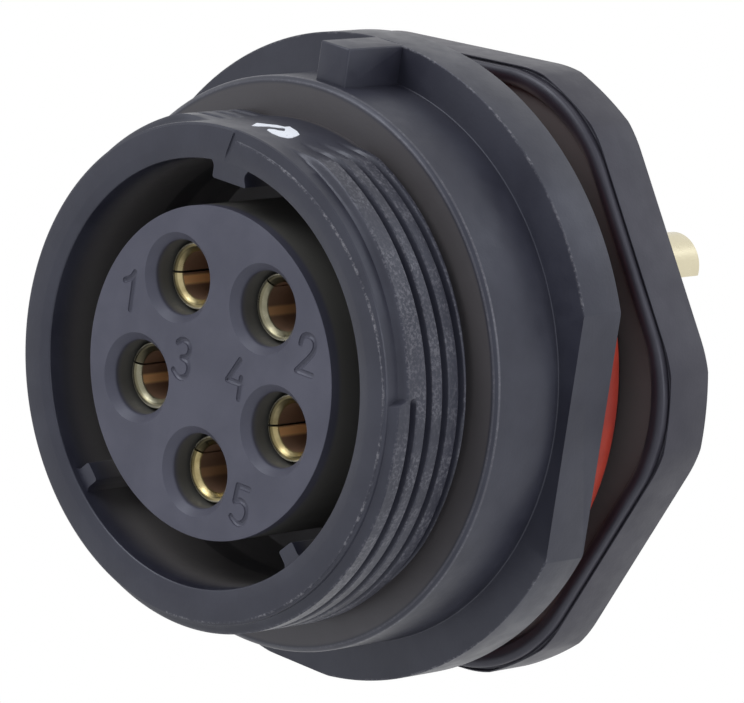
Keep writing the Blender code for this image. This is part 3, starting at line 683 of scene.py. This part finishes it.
def thread_radius(depth, angle):
    """Radius of the threaded stretch at a depth and angle."""
    from_key = min(angle, math.tau - angle)
    ridge = smooth_share(from_key, LAND_HALF_ANGLE, LAND_HALF_ANGLE + THREAD_RISE_ANGLE)
    ahead = smooth_share(ridge_front_depth(angle) - depth, -0.1 * THREAD_FLANK, 1.1 * THREAD_FLANK)
    behind = smooth_share(depth, RELIEF_START - THREAD_FLANK, RELIEF_START)
    lost = max(ahead, behind)
    started = smooth_share(angle, THREAD_START, THREAD_START + THREAD_START_LENGTH)
    for index, valley in enumerate(valley_depths(angle)):
        away = max(abs(depth - valley) - THREAD_ROOT_FLAT / 2.0, 0.0)
        cut = smooth_share(THREAD_FLANK - away, -0.1 * THREAD_FLANK, 1.1 * THREAD_FLANK)
        if index == 0:
            cut *= started
        lost = max(lost, cut)
    return THREAD_CORE + THREAD_DEPTH * (1.0 - lost) * ridge


def rim_bevel(angle):
    """Width of the rim's outer bevel at an angle."""
    step = smooth_share(angle, 0.0, RIM_STEP_ANGLE)
    fade = smooth_share(angle, *RIM_BEVEL_FADE)
    return blend(RIM_BEVEL_NARROW, RIM_BEVEL_WIDE, step * (1.0 - fade))


def rim_rings(angles):
    """Rings of the rim: the mouth's bevel, the flat face and the outer bevel."""
    edge = EDGE_ROUND * 0.5
    inside = rounded((
        (MOUTH_RADIUS, CAVITY_DEPTH * 0.2),
        (MOUTH_RADIUS, RIM_DEPTH + MOUTH_BEVEL_DEPTH),
        (MOUTH_RADIUS + MOUTH_BEVEL_WIDTH, RIM_DEPTH),
        (MOUTH_RADIUS + MOUTH_BEVEL_WIDTH * 1.3, RIM_DEPTH),
    ), EDGE_ROUND)
    rings = turned(inside, angles)
    for share, radius_shift, depth_shift in (
        (1.0, -edge, 0.0), (1.0, 0.0, edge * 0.25), (0.93, 0.0, edge),
        (0.07, -edge * 0.2, -edge * 0.5), (0.0, 0.0, edge), (0.0, 0.0, edge * 2.0),
    ):
        ring = []
        for angle in angles:
            bevel = rim_bevel(angle)
            depth = RIM_DEPTH + RIM_BEVEL_NARROW * (1.0 - share) + depth_shift
            ring.append(around(THREAD_CORE - bevel * share + radius_shift, angle, depth))
        rings.append(ring)
    return rings


def front_thread_rings(angles):
    """Rings of the front thread, which fades out at the key into a smooth land."""
    columns = [thread_rows(angle) for angle in angles]
    reach = LAND_HALF_ANGLE
    first = thread_rows(reach)
    final = thread_rows(math.tau - reach)
    for index, angle in enumerate(angles):
        signed = angle if angle < math.pi else angle - math.tau
        if abs(signed) < reach:
            share = clamp(0.5 + signed / (2.0 * reach))
            columns[index] = [blend(end, start, share) for start, end in zip(first, final)]
    rings = []
    for row in range(len(first)):
        rings.append([
            around(thread_radius(columns[index][row], angle), angle, columns[index][row])
            for index, angle in enumerate(angles)
        ])
    return rings


def barrel_thread_rings(angles):
    """Rings of the rear barrel's thread, M16 x 1, which runs out at both ends."""
    rings = []
    start = BARREL_THREAD_START
    end = BARREL_END - BARREL_CHAMFER
    for row in range(BARREL_THREAD_ROWS + 1):
        depth = blend(start, end, row / BARREL_THREAD_ROWS)
        ring = []
        for angle in angles:
            phase = (depth / BARREL_PITCH - angle / math.tau) % 1.0
            cut = BARREL_THREAD_DEPTH * smooth_share(0.5 - abs(phase - 0.5), 0.08, 0.42)
            fade = smooth_share(depth, start, start + BARREL_PITCH / 2.0)
            ring.append(around(BARREL_RADIUS - cut * fade, angle, depth))
        rings.append(ring)
    return rings


def key_tool(width, height, angle, front, flare=0.0):
    """A key that stands in from the mouth's wall, with a round tip and filleted roots."""
    half = width / 2.0
    tip = MOUTH_RADIUS - height
    wall = math.sqrt(MOUTH_RADIUS ** 2 - (half + KEY_FILLET) ** 2)
    inside = MOUTH_RADIUS + KEY_ROOT
    corners = [
        (-half - KEY_FILLET, inside), (-half - KEY_FILLET, wall), (-half, wall - KEY_FILLET),
        (-half, tip), (half + flare, tip),
    ]
    if flare:
        corners.append((half, tip + flare * 2.0))
    corners += [(half, wall - KEY_FILLET), (half + KEY_FILLET, wall), (half + KEY_FILLET, inside)]
    outline = rounded(corners, KEY_FILLET * 0.7, closed=True)
    ends = (front, CAVITY_DEPTH + KEY_ROOT)
    return turn(skin([[(side, depth, up) for side, up in outline] for depth in ends]), angle)


def witness_tool():
    """The moulding groove across the rim at the key."""
    inner, outer = (Vector((side, RIM_DEPTH, up)) for side, up in (WITNESS_INNER, WITNESS_OUTER))
    along = outer - inner
    low = (-WITNESS_HALF_WIDTH, -WITNESS_HALF_DEPTH, 0.0)
    high = (WITNESS_HALF_WIDTH, WITNESS_HALF_DEPTH, along.length)
    mesh = turn(block(low, high, EDGE_ROUND * 0.3), math.atan2(along.x, along.z))
    bmesh.ops.translate(mesh, verts=mesh.verts, vec=inner)
    return mesh


def make_shell(material):
    """The moulded shell with its threads, keys, lug and flats."""
    angles = thread_columns()
    middle = rounded((
        (THREAD_CORE, COLLAR_FRONT),
        (COLLAR_RADIUS - COLLAR_CHAMFER, COLLAR_FRONT),
        (COLLAR_RADIUS, COLLAR_FRONT + COLLAR_CHAMFER),
        (COLLAR_RADIUS, FLANGE_FRONT),
        (FLANGE_RADIUS, FLANGE_FRONT),
        (FLANGE_RADIUS, FLANGE_REAR),
        (BARREL_RELIEF_RADIUS, FLANGE_REAR),
        (BARREL_RELIEF_RADIUS, BARREL_THREAD_START - BARREL_RELIEF_RISE),
        (BARREL_RADIUS, BARREL_THREAD_START - SMALLEST_STEP),
    ), EDGE_ROUND)
    rear = rounded((
        (BARREL_RADIUS - BARREL_CHAMFER, BARREL_END),
        (BARREL_BORE, BARREL_END),
        (BARREL_BORE, GROOVE_REAR),
        (GROOVE_RADIUS, GROOVE_REAR),
        (GROOVE_RADIUS, GROOVE_FRONT),
        (BARREL_BORE, GROOVE_FRONT),
        (BARREL_BORE, SHOULDER_REAR),
        (INSERT_RADIUS + FIT_CLEARANCE, SHOULDER_REAR),
        (INSERT_RADIUS + FIT_CLEARANCE, CAVITY_DEPTH),
        (MOUTH_RADIUS, CAVITY_DEPTH),
        (MOUTH_RADIUS, CAVITY_DEPTH * 0.9),
    ), EDGE_ROUND)
    rings = rim_rings(angles) + front_thread_rings(angles) + turned(middle, angles)
    rings += barrel_thread_rings(angles) + turned(rear, angles)
    shell = new_object("shell_moulding", skin(rings, joined_ends=True), material)
    half_lug = LUG_WIDTH / 2.0
    lug_top = math.sqrt(FLANGE_RADIUS ** 2 - half_lug ** 2)
    lug = block(
        (-half_lug, LUG_FRONT, COLLAR_RADIUS - half_lug),
        (half_lug, FLANGE_FRONT + LUG_ROOT, lug_top), EDGE_ROUND,
    )
    added = [key_tool(MAIN_KEY_WIDTH, MAIN_KEY_HEIGHT, 0.0, RIM_DEPTH + MOUTH_BEVEL_DEPTH, MAIN_KEY_FLARE)]
    added += [key_tool(SIDE_KEY_WIDTH, SIDE_KEY_HEIGHT, angle, SIDE_KEY_FRONT) for angle in SIDE_KEY_ANGLES]
    added.append(lug)
    front_cut = FLANGE_FRONT - CUT_OVERRUN
    rear_cut = FLANGE_REAR + CUT_OVERRUN
    far = FLANGE_RADIUS + CUT_OVERRUN
    flats = [
        block((FLANGE_SIDE_FLAT, front_cut, -far), (far, rear_cut, far)),
        block((-far, front_cut, -far), (-FLANGE_SIDE_FLAT, rear_cut, far)),
        block((-far, front_cut, -far), (far, rear_cut, -FLANGE_BOTTOM_FLAT)),
        witness_tool(),
    ]
    carve(shell, [
        ("UNION", new_object("added", join_meshes(added))),
        ("DIFFERENCE", new_object("flats", join_meshes(flats))),
    ])
    return shell


def softened(points, rounds=2):
    """A stroke's points with its corners cut, for a curved line."""
    for _ in range(rounds):
        smooth = [points[0]]
        for first, second in zip(points, points[1:]):
            smooth.append(tuple(blend(a, b, 0.25) for a, b in zip(first, second)))
            smooth.append(tuple(blend(a, b, 0.75) for a, b in zip(first, second)))
        smooth.append(points[-1])
        points = smooth
    return points


# Strokes of the sunk numbers, as shares of a number's half height
NUMBER_HALF_HEIGHT = 0.00062
NUMBER_STROKE_RADIUS = 0.00011
NUMBER_SUNK_SHARE = -0.15
NUMBER_STROKE_SHARES = {
    "1": [((-0.42, 0.42), (0.0, 0.62), (0.22, 1.0)), ((0.22, 1.0), (0.22, -1.0))],
    "2": [((-0.50, 0.45), (-0.42, 0.86), (0.0, 1.04), (0.42, 0.86), (0.55, 0.45), (0.30, -0.05),
           (-0.52, -0.98)), ((-0.52, -0.98), (0.56, -0.98))],
    "3": [((-0.48, 0.78), (-0.20, 1.02), (0.25, 0.98), (0.48, 0.62), (0.32, 0.18), (-0.05, 0.06)),
          ((-0.05, 0.06), (0.38, -0.02), (0.58, -0.45), (0.36, -0.92), (-0.12, -1.04), (-0.55, -0.72))],
    "4": [((0.18, 1.0), (-0.52, -0.22)), ((-0.52, -0.22), (0.50, -0.22)), ((0.42, 0.10), (0.42, -1.0))],
    "5": [((0.46, 0.98), (-0.34, 0.98)), ((-0.34, 0.98), (-0.42, 0.12)),
          ((-0.42, 0.12), (-0.05, 0.28), (0.42, 0.10), (0.56, -0.38), (0.36, -0.88), (-0.10, -1.04),
           (-0.54, -0.74))],
}
NUMBER_PLACES = {
    "1": (-0.00396, 0.00171),
    "2": (0.00405, 0.00176),
    "3": (-0.00122, 0.00014),
    "4": (0.00117, 0.00018),
    "5": (0.00216, -0.00378),
}


def stroke_tube(points, radius):
    """A round bar along points, with short domed ends."""
    rings = []
    for index, point in enumerate(points):
        before = points[max(index - 1, 0)]
        after = points[min(index + 1, len(points) - 1)]
        along = (Vector(after) - Vector(before)).normalized()
        across = Vector((along.z, 0.0, -along.x))
        shares = [(0.0, 1.0)]
        if index == 0:
            shares = [(-0.9, 0.4), (-0.6, 0.8), (0.0, 1.0)]
        elif index == len(points) - 1:
            shares = [(0.0, 1.0), (0.6, 0.8), (0.9, 0.4)]
        for shift, width in shares:
            centre = Vector(point) + along * radius * shift
            ring = []
            for turn_angle in even_angles(STROKE_COLUMNS):
                offset = across * math.cos(turn_angle) + Vector((0.0, math.sin(turn_angle), 0.0))
                ring.append(centre + offset * radius * width)
            rings.append(ring)
    return skin(rings)


def number_tools():
    """The round bars that sink the numbers into the insert's face."""
    tools = []
    sunk = NUMBER_STROKE_RADIUS * NUMBER_SUNK_SHARE
    for number, strokes in NUMBER_STROKE_SHARES.items():
        right, up = NUMBER_PLACES[number]
        for stroke in strokes:
            points = [
                (right + x * NUMBER_HALF_HEIGHT, sunk, up + z * NUMBER_HALF_HEIGHT) for x, z in stroke
            ]
            if len(points) > 2:
                points = softened(points)
            tools.append(stroke_tube(points, NUMBER_STROKE_RADIUS))
    return join_meshes(tools)


def contact_centre(name):
    """Centre of a contact on the insert's face."""
    return Vector(around(CONTACT_CIRCLE, math.radians(CONTACTS[name][0]), 0.0))


def hole_tools(section):
    """Turned cutters on the five contact places."""
    tools = []
    for name in CONTACTS:
        mesh = skin(turned(section, even_angles(HOLE_COLUMNS)))
        bmesh.ops.translate(mesh, verts=mesh.verts, vec=contact_centre(name))
        tools.append(mesh)
    return join_meshes(tools)


def make_insert(material):
    """The insulator with its chamfered holes and sunk numbers."""
    groove_front, groove_rear, groove_radius = INSERT_GROOVE
    section = rounded((
        (INSERT_RADIUS * 0.99, 0.0),
        (INSERT_RADIUS, 0.0),
        (INSERT_RADIUS, INSERT_FLANGE_FRONT),
        (INSERT_FLANGE_RADIUS, INSERT_FLANGE_FRONT),
        (INSERT_FLANGE_RADIUS, groove_front),
        (groove_radius, groove_front),
        (groove_radius, groove_rear),
        (INSERT_FLANGE_RADIUS, groove_rear),
        (INSERT_FLANGE_RADIUS, INSERT_REAR),
    ), EDGE_ROUND)
    body = skin(turned(section, even_angles(INSERT_COLUMNS)))
    insert = new_object("insert_moulding", body, material)
    spread = HOLE_CHAMFER + CUT_OVERRUN
    holes = hole_tools(rounded((
        (HOLE_RADIUS + spread, -CUT_OVERRUN),
        (HOLE_RADIUS, HOLE_CHAMFER),
        (HOLE_RADIUS, INSERT_REAR + CUT_OVERRUN),
    ), EDGE_ROUND))
    carve(insert, [
        ("DIFFERENCE", new_object("holes", holes)),
        ("DIFFERENCE", new_object("numbers", number_tools())),
    ])
    return insert


def make_retainer(material):
    """The rear insulator round the contacts."""
    section = rounded((
        (INSERT_FLANGE_RADIUS - RETAINER_EDGE, RETAINER_FRONT),
        (INSERT_FLANGE_RADIUS, RETAINER_FRONT + RETAINER_EDGE),
        (INSERT_FLANGE_RADIUS, RETAINER_REAR - RETAINER_EDGE),
        (INSERT_FLANGE_RADIUS - RETAINER_EDGE, RETAINER_REAR),
    ), EDGE_ROUND)
    body = skin(turned(section, even_angles(RETAINER_COLUMNS)))
    retainer = new_object("retainer_moulding", body, material)
    spread = HOLE_CHAMFER + CUT_OVERRUN
    holes = hole_tools((
        (HOLE_RADIUS, RETAINER_FRONT - CUT_OVERRUN),
        (HOLE_RADIUS, RETAINER_REAR - HOLE_CHAMFER),
        (HOLE_RADIUS + spread, RETAINER_REAR + CUT_OVERRUN),
    ))
    carve(retainer, [("DIFFERENCE", new_object("holes", holes))])
    return retainer


def contact_shape():
    """The socket contact's mesh, on its own axis."""
    shoulder_front, shoulder_rear, shoulder_radius = CONTACT_SHOULDER
    bucket_bottom = BUCKET_END - BUCKET_BORE_DEPTH
    point = CONTACT_BORE * math.tan(DRILL_POINT_ANGLE)
    tip = CONTACT_BORE * 0.02
    section = rounded((
        (tip, CONTACT_BORE_END + point),
        (CONTACT_BORE, CONTACT_BORE_END),
        (CONTACT_BORE, CONTACT_RECESS + CONTACT_LIP),
        (CONTACT_BORE + CONTACT_LIP, CONTACT_RECESS),
        (CONTACT_RADIUS, CONTACT_RECESS),
        (CONTACT_RADIUS, shoulder_front),
        (shoulder_radius, shoulder_front),
        (shoulder_radius, shoulder_rear),
        (CONTACT_RADIUS, shoulder_rear),
        (CONTACT_RADIUS, BUCKET_END),
        (CONTACT_BORE, BUCKET_END),
        (CONTACT_BORE, bucket_bottom),
        (tip, bucket_bottom - point),
    ), EDGE_ROUND * 0.7)
    contact = new_object("contact_shape", skin(turned(section, even_angles(CONTACT_COLUMNS))))
    reach = CONTACT_RADIUS + CUT_OVERRUN
    slit = block(
        (-SLIT_WIDTH / 2.0, CONTACT_RECESS - CUT_OVERRUN, 0.0),
        (SLIT_WIDTH / 2.0, CONTACT_RECESS + SLIT_LENGTH, reach),
    )
    start = BUCKET_END - BUCKET_OPENING
    rise = reach * math.tan(BUCKET_SLOPE)
    end = BUCKET_END + CUT_OVERRUN
    outline = ((start, 0.0), (end, 0.0), (end, reach), (start - rise, reach))
    bucket = skin([[(side, depth, height) for depth, height in outline] for side in (-reach, reach)])
    turn(bucket, BUCKET_TURN)
    carve(contact, [("DIFFERENCE", new_object("slit", slit)), ("DIFFERENCE", new_object("bucket", bucket))])
    data = contact.data
    bpy.data.objects.remove(contact)
    return data


def make_contacts():
    """Five contacts of one shape, each turned as it was left at assembly."""
    shape = contact_shape()
    contacts = {}
    for name, (_, slit_degrees, *looks) in CONTACTS.items():
        centre = contact_centre(name)
        slit_turn = math.radians(slit_degrees)
        data = shape.copy()
        data.materials.append(gold(f"{name}_gold", centre, slit_turn, *looks))
        data.transform(Matrix.Translation(centre) @ Matrix.Rotation(slit_turn, 4, "Y"))
        contact = bpy.data.objects.new(f"{name}_turned", data)
        bpy.context.scene.collection.objects.link(contact)
        contacts[name] = contact
    bpy.data.meshes.remove(shape)
    return contacts


def hex_radius(angle, inset, fillet):
    """Radius of the nut's outline, moved in by an inset: flats with filleted corners."""
    sixth = math.pi / 3.0
    flat = NUT_FLAT - inset
    from_flat = abs((angle + sixth / 2.0) % sixth - sixth / 2.0)
    from_corner = sixth / 2.0 - from_flat
    centre = (flat - fillet) / math.cos(sixth / 2.0)
    tangent = math.atan((flat - fillet) * math.tan(sixth / 2.0) / flat)
    if from_flat <= tangent:
        return flat / math.cos(from_flat)
    reach = math.sqrt(fillet ** 2 - (centre * math.sin(from_corner)) ** 2)
    return min(centre * math.cos(from_corner) + reach, NUT_CORNER - inset)


def ragged(angle):
    """An uneven wave round the nut, between -1 and 1, for its rough parting line."""
    waves = ((37, 0.4), (61, 1.7), (97, 2.9), (149, 0.8), (211, 2.2))
    return sum(math.sin(count * angle + start) for count, start in waves) / len(waves)


def make_nut(material):
    """The panel nut: a hexagon with a ragged parting line, a round bead and a dished front."""
    angles = even_angles(NUT_COLUMNS)
    crest = NUT_BODY_FRONT - NUT_BEAD_HEIGHT
    groove = NUT_BODY_FRONT + NUT_GROOVE_DEPTH
    side = rounded((
        (0.0012, NUT_REAR), (0.0, NUT_REAR), (0.0, NUT_BODY_FRONT), (NUT_GROOVE_OUTER, NUT_BODY_FRONT),
    ), EDGE_ROUND)
    bead = rounded((
        (NUT_GROOVE_OUTER, groove),
        (NUT_BEAD_OUTER, groove),
        (NUT_BEAD_OUTER, crest + NUT_BEAD_HEIGHT * 0.25),
        (NUT_BEAD_CREST, crest),
        (NUT_BEAD_INNER, crest + NUT_BEAD_HEIGHT * 0.45),
        (NUT_BEAD_INNER, NUT_FLOOR),
        (NUT_BEAD_INNER * 2.0, NUT_FLOOR),
    ), NUT_BEAD_HEIGHT * 0.6, 5)
    rings = []
    for section, fillet, roughness in ((side, NUT_CORNER_FILLET, 0.0), (bead, NUT_BEAD_FILLET, NUT_RAGGED)):
        for index, (inset, depth) in enumerate(section):
            rough = roughness if index < 4 else 0.0
            rings.append([
                around(hex_radius(angle, inset + rough * ragged(angle), fillet), angle, depth)
                for angle in angles
            ])
    bore = rounded((
        (NUT_BORE + NUT_BORE_FACE, NUT_FLOOR),
        (NUT_BORE + NUT_BORE_CHAMFER, NUT_FLOOR),
        (NUT_BORE, NUT_FLOOR + NUT_BORE_CHAMFER),
        (NUT_BORE, NUT_REAR - NUT_BORE_CHAMFER),
        (NUT_BORE + NUT_BORE_CHAMFER, NUT_REAR),
        (NUT_BORE + NUT_BORE_FACE, NUT_REAR),
    ), EDGE_ROUND)
    rings += turned(bore, angles)
    nut = turn(skin(rings, joined_ends=True), NUT_TURN)
    bmesh.ops.translate(nut, verts=nut.verts, vec=(0.0, 0.0, -NUT_SAG))
    return new_object("nut_moulding", nut, material)


def make_seal(material):
    """The red seal behind the flange."""
    section = [
        (SEAL_RADIUS + SEAL_SECTION * math.cos(angle), SEAL_DEPTH + SEAL_SECTION * math.sin(angle))
        for angle in even_angles(SEAL_SECTION_COLUMNS)
    ]
    ring = skin(turned(section, even_angles(SEAL_COLUMNS)), joined_ends=True)
    return new_object("panel_seal_ring", ring, material)


# The arrow painted on the land: points of (place along the arc, depth)
ARROW_SHAFT = (
    (-0.00020, 0.00060), (-0.00048, 0.00112), (-0.00022, 0.00136), (-0.00002, 0.00160), (0.00021, 0.00170),
    (0.00034, 0.00156), (0.00022, 0.00134), (0.00003, 0.00112), (-0.00008, 0.00078),
)
ARROW_HEAD = (
    (0.00021, 0.00170), (0.00021, 0.00192), (0.00068, 0.00178), (0.00098, 0.00160), (0.00116, 0.00112),
    (0.00117, 0.00088), (0.00101, 0.00068), (0.00070, 0.00062), (0.00037, 0.00072), (0.00029, 0.00086),
    (0.00036, 0.00106), (0.00050, 0.00112), (0.00060, 0.00128), (0.00047, 0.00146), (0.00034, 0.00156),
)
PAINT_HEIGHT = 0.000015


def make_arrow(material):
    """The painted arrow, a thin skin that follows the land's curve."""
    parts = []
    for outline in (ARROW_SHAFT, ARROW_HEAD):
        parts.append(skin([
            [around(THREAD_CORE + lift, arc / THREAD_CORE, depth) for arc, depth in outline]
            for lift in (-PAINT_HEIGHT, PAINT_HEIGHT)
        ]))
    mesh = join_meshes(parts)
    bmesh.ops.triangulate(mesh, faces=[face for face in mesh.faces if len(face.verts) > 4])
    return new_object("arrow_mark", mesh, material)


def place_piece(piece, body, slot, *nodes):
    """Makes a piece ride on its body and stand for the nodes it replaces; the slot is not used."""
    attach(piece, body)
    if nodes:
        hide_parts(*nodes)


def make_camera():
    """The camera at the photograph's angle, from the fitted turn, height, roll and distance."""
    back = Vector((
        math.sin(CAMERA_AZIMUTH) * math.cos(CAMERA_ELEVATION),
        -math.cos(CAMERA_AZIMUTH) * math.cos(CAMERA_ELEVATION),
        math.sin(CAMERA_ELEVATION),
    ))
    level = Vector((math.cos(CAMERA_AZIMUTH), math.sin(CAMERA_AZIMUTH), 0.0))
    rise = back.cross(level)
    right = level * math.cos(CAMERA_ROLL) + rise * math.sin(CAMERA_ROLL)
    up = rise * math.cos(CAMERA_ROLL) - level * math.sin(CAMERA_ROLL)
    data = bpy.data.cameras.new("camera")
    data.lens = CAMERA_LENS_MM
    data.sensor_width = CAMERA_SENSOR_MM
    data.sensor_fit = "HORIZONTAL"
    data.clip_start = 0.01
    camera = bpy.data.objects.new("camera", data)
    bpy.context.scene.collection.objects.link(camera)
    turn_matrix = Matrix((right, up, back)).transposed()
    place = back * CAMERA_DISTANCE + right * CAMERA_RIGHT + up * CAMERA_UP
    camera.matrix_world = Matrix.Translation(place) @ turn_matrix.to_4x4()
    bpy.context.scene.camera = camera


def white_backdrop(tree, surface, output):
    """Shows plain white to the camera and to reflections, and the given surface to the rest."""
    path = tree.nodes.new("ShaderNodeLightPath")
    seen = path.outputs["Is Camera Ray"]
    for kind in ("Is Glossy Ray", "Is Transmission Ray"):
        either = tree.nodes.new("ShaderNodeMath")
        either.operation = "MAXIMUM"
        tree.links.new(seen, either.inputs[0])
        tree.links.new(path.outputs[kind], either.inputs[1])
        seen = either.outputs[0]
    on_object = output.type == "OUTPUT_MATERIAL"
    white = tree.nodes.new("ShaderNodeEmission" if on_object else "ShaderNodeBackground")
    white.inputs["Color"].default_value = (1.0, 1.0, 1.0, 1.0)
    white.inputs["Strength"].default_value = 1.0
    choose = tree.nodes.new("ShaderNodeMixShader")
    tree.links.new(seen, choose.inputs[0])
    tree.links.new(surface, choose.inputs[1])
    tree.links.new(white.outputs[0], choose.inputs[2])
    tree.links.new(choose.outputs[0], output.inputs["Surface"])


def make_world():
    """A light tent: brighter above than below."""
    world = bpy.data.worlds.new("light_tent")
    bpy.context.scene.world = world
    world.use_nodes = True
    tree = world.node_tree
    tree.nodes.clear()
    output = tree.nodes.new("ShaderNodeOutputWorld")
    place = tree.nodes.new("ShaderNodeTexCoord")
    parts = tree.nodes.new("ShaderNodeSeparateXYZ")
    tree.links.new(place.outputs["Generated"], parts.inputs[0])
    level = tree.nodes.new("ShaderNodeMapRange")
    tree.links.new(parts.outputs[2], level.inputs["Value"])
    for name, number in (("From Min", -1.0), ("From Max", 1.0), ("To Min", 0.30), ("To Max", 0.85)):
        level.inputs[name].default_value = number
    tent = tree.nodes.new("ShaderNodeBackground")
    tree.links.new(level.outputs[0], tent.inputs["Strength"])
    white_backdrop(tree, tent.outputs[0], output)


def make_lamp(name, place, size, power, colour):
    """A soft square lamp that points at the connector."""
    data = bpy.data.lights.new(name, "AREA")
    data.size = size
    data.energy = power
    data.color = colour
    lamp = bpy.data.objects.new(name, data)
    bpy.context.scene.collection.objects.link(lamp)
    lamp.location = place
    lamp.rotation_euler = (Vector(LAMP_AIM) - Vector(place)).to_track_quat("-Z", "Y").to_euler()


def make_floor():
    """A pale floor below the connector, which is held up by its panel."""
    mesh = bmesh.new()
    bmesh.ops.create_grid(mesh, x_segments=1, y_segments=1, size=FLOOR_REACH)
    bmesh.ops.translate(mesh, verts=mesh.verts, vec=(0.0, 0.0, FLOOR_HEIGHT))
    material = bpy.data.materials.new("pale_floor")
    material.use_nodes = True
    tree = material.node_tree
    shader = tree.nodes["Principled BSDF"]
    shader.inputs["Base Color"].default_value = (0.80, 0.80, 0.80, 1.0)
    shader.inputs["Roughness"].default_value = 0.9
    output = tree.nodes["Material Output"]
    white_backdrop(tree, shader.outputs[0], output)
    new_object("floor", mesh, material)


def main():
    """Builds the looks on the frame."""
    # The fills given to the plastics are painted light that lifts the shade of their hollows.
    shell_plastic = moulded_plastic(
        "shell_plastic", (0.016, 0.0165, 0.027), (0.024, 0.025, 0.038), 0.40,
        wear=SHELL_WEAR, painted_fills=(MOUTH_PAINTED_FILL, COLLAR_PAINTED_FILL))
    nut_plastic = moulded_plastic(
        "nut_plastic", (0.023, 0.0215, 0.031), (0.032, 0.030, 0.041), 0.46, painted_fills=(NUT_PAINTED_FILL,))
    insert_plastic = moulded_plastic(
        "insert_plastic", (0.049, 0.050, 0.073), (0.063, 0.064, 0.091), 0.48, painted_fills=(HOLE_PAINTED_FILL,))
    red = rubber("red_silicone", (0.25, 0.026, 0.018), (0.34, 0.038, 0.023), 0.50)
    black = rubber("black_rubber", (0.012, 0.012, 0.012), (0.022, 0.022, 0.022), 0.6)
    steel = spring_steel("spring_steel")

    place_piece(make_shell(shell_plastic), "shell", "shell_plastic", "shell")
    place_piece(make_insert(insert_plastic), "shell", "insert_plastic", "contact_insert")
    place_piece(make_retainer(insert_plastic), "shell", "insert_plastic", "contact_retainer")
    for name, contact in make_contacts().items():
        place_piece(contact, "shell", "contact_gold", name)
    place_piece(make_seal(red), "shell", "red_silicone", "panel_o_ring")
    place_piece(make_arrow(paint("arrow_paint")), "shell", "shell_plastic")
    place_piece(make_nut(nut_plastic), "nut", "nut_plastic", "panel_nut")
    for node, material in (("insert_seal", black), ("retaining_ring", steel)):
        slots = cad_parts[node].data.materials
        slots.clear()
        slots.append(material)

    make_camera()
    make_world()
    make_floor()
    for name, settings in LAMPS.items():
        make_lamp(name, *settings)
    bpy.context.scene.view_settings.view_transform = "Standard"


main()
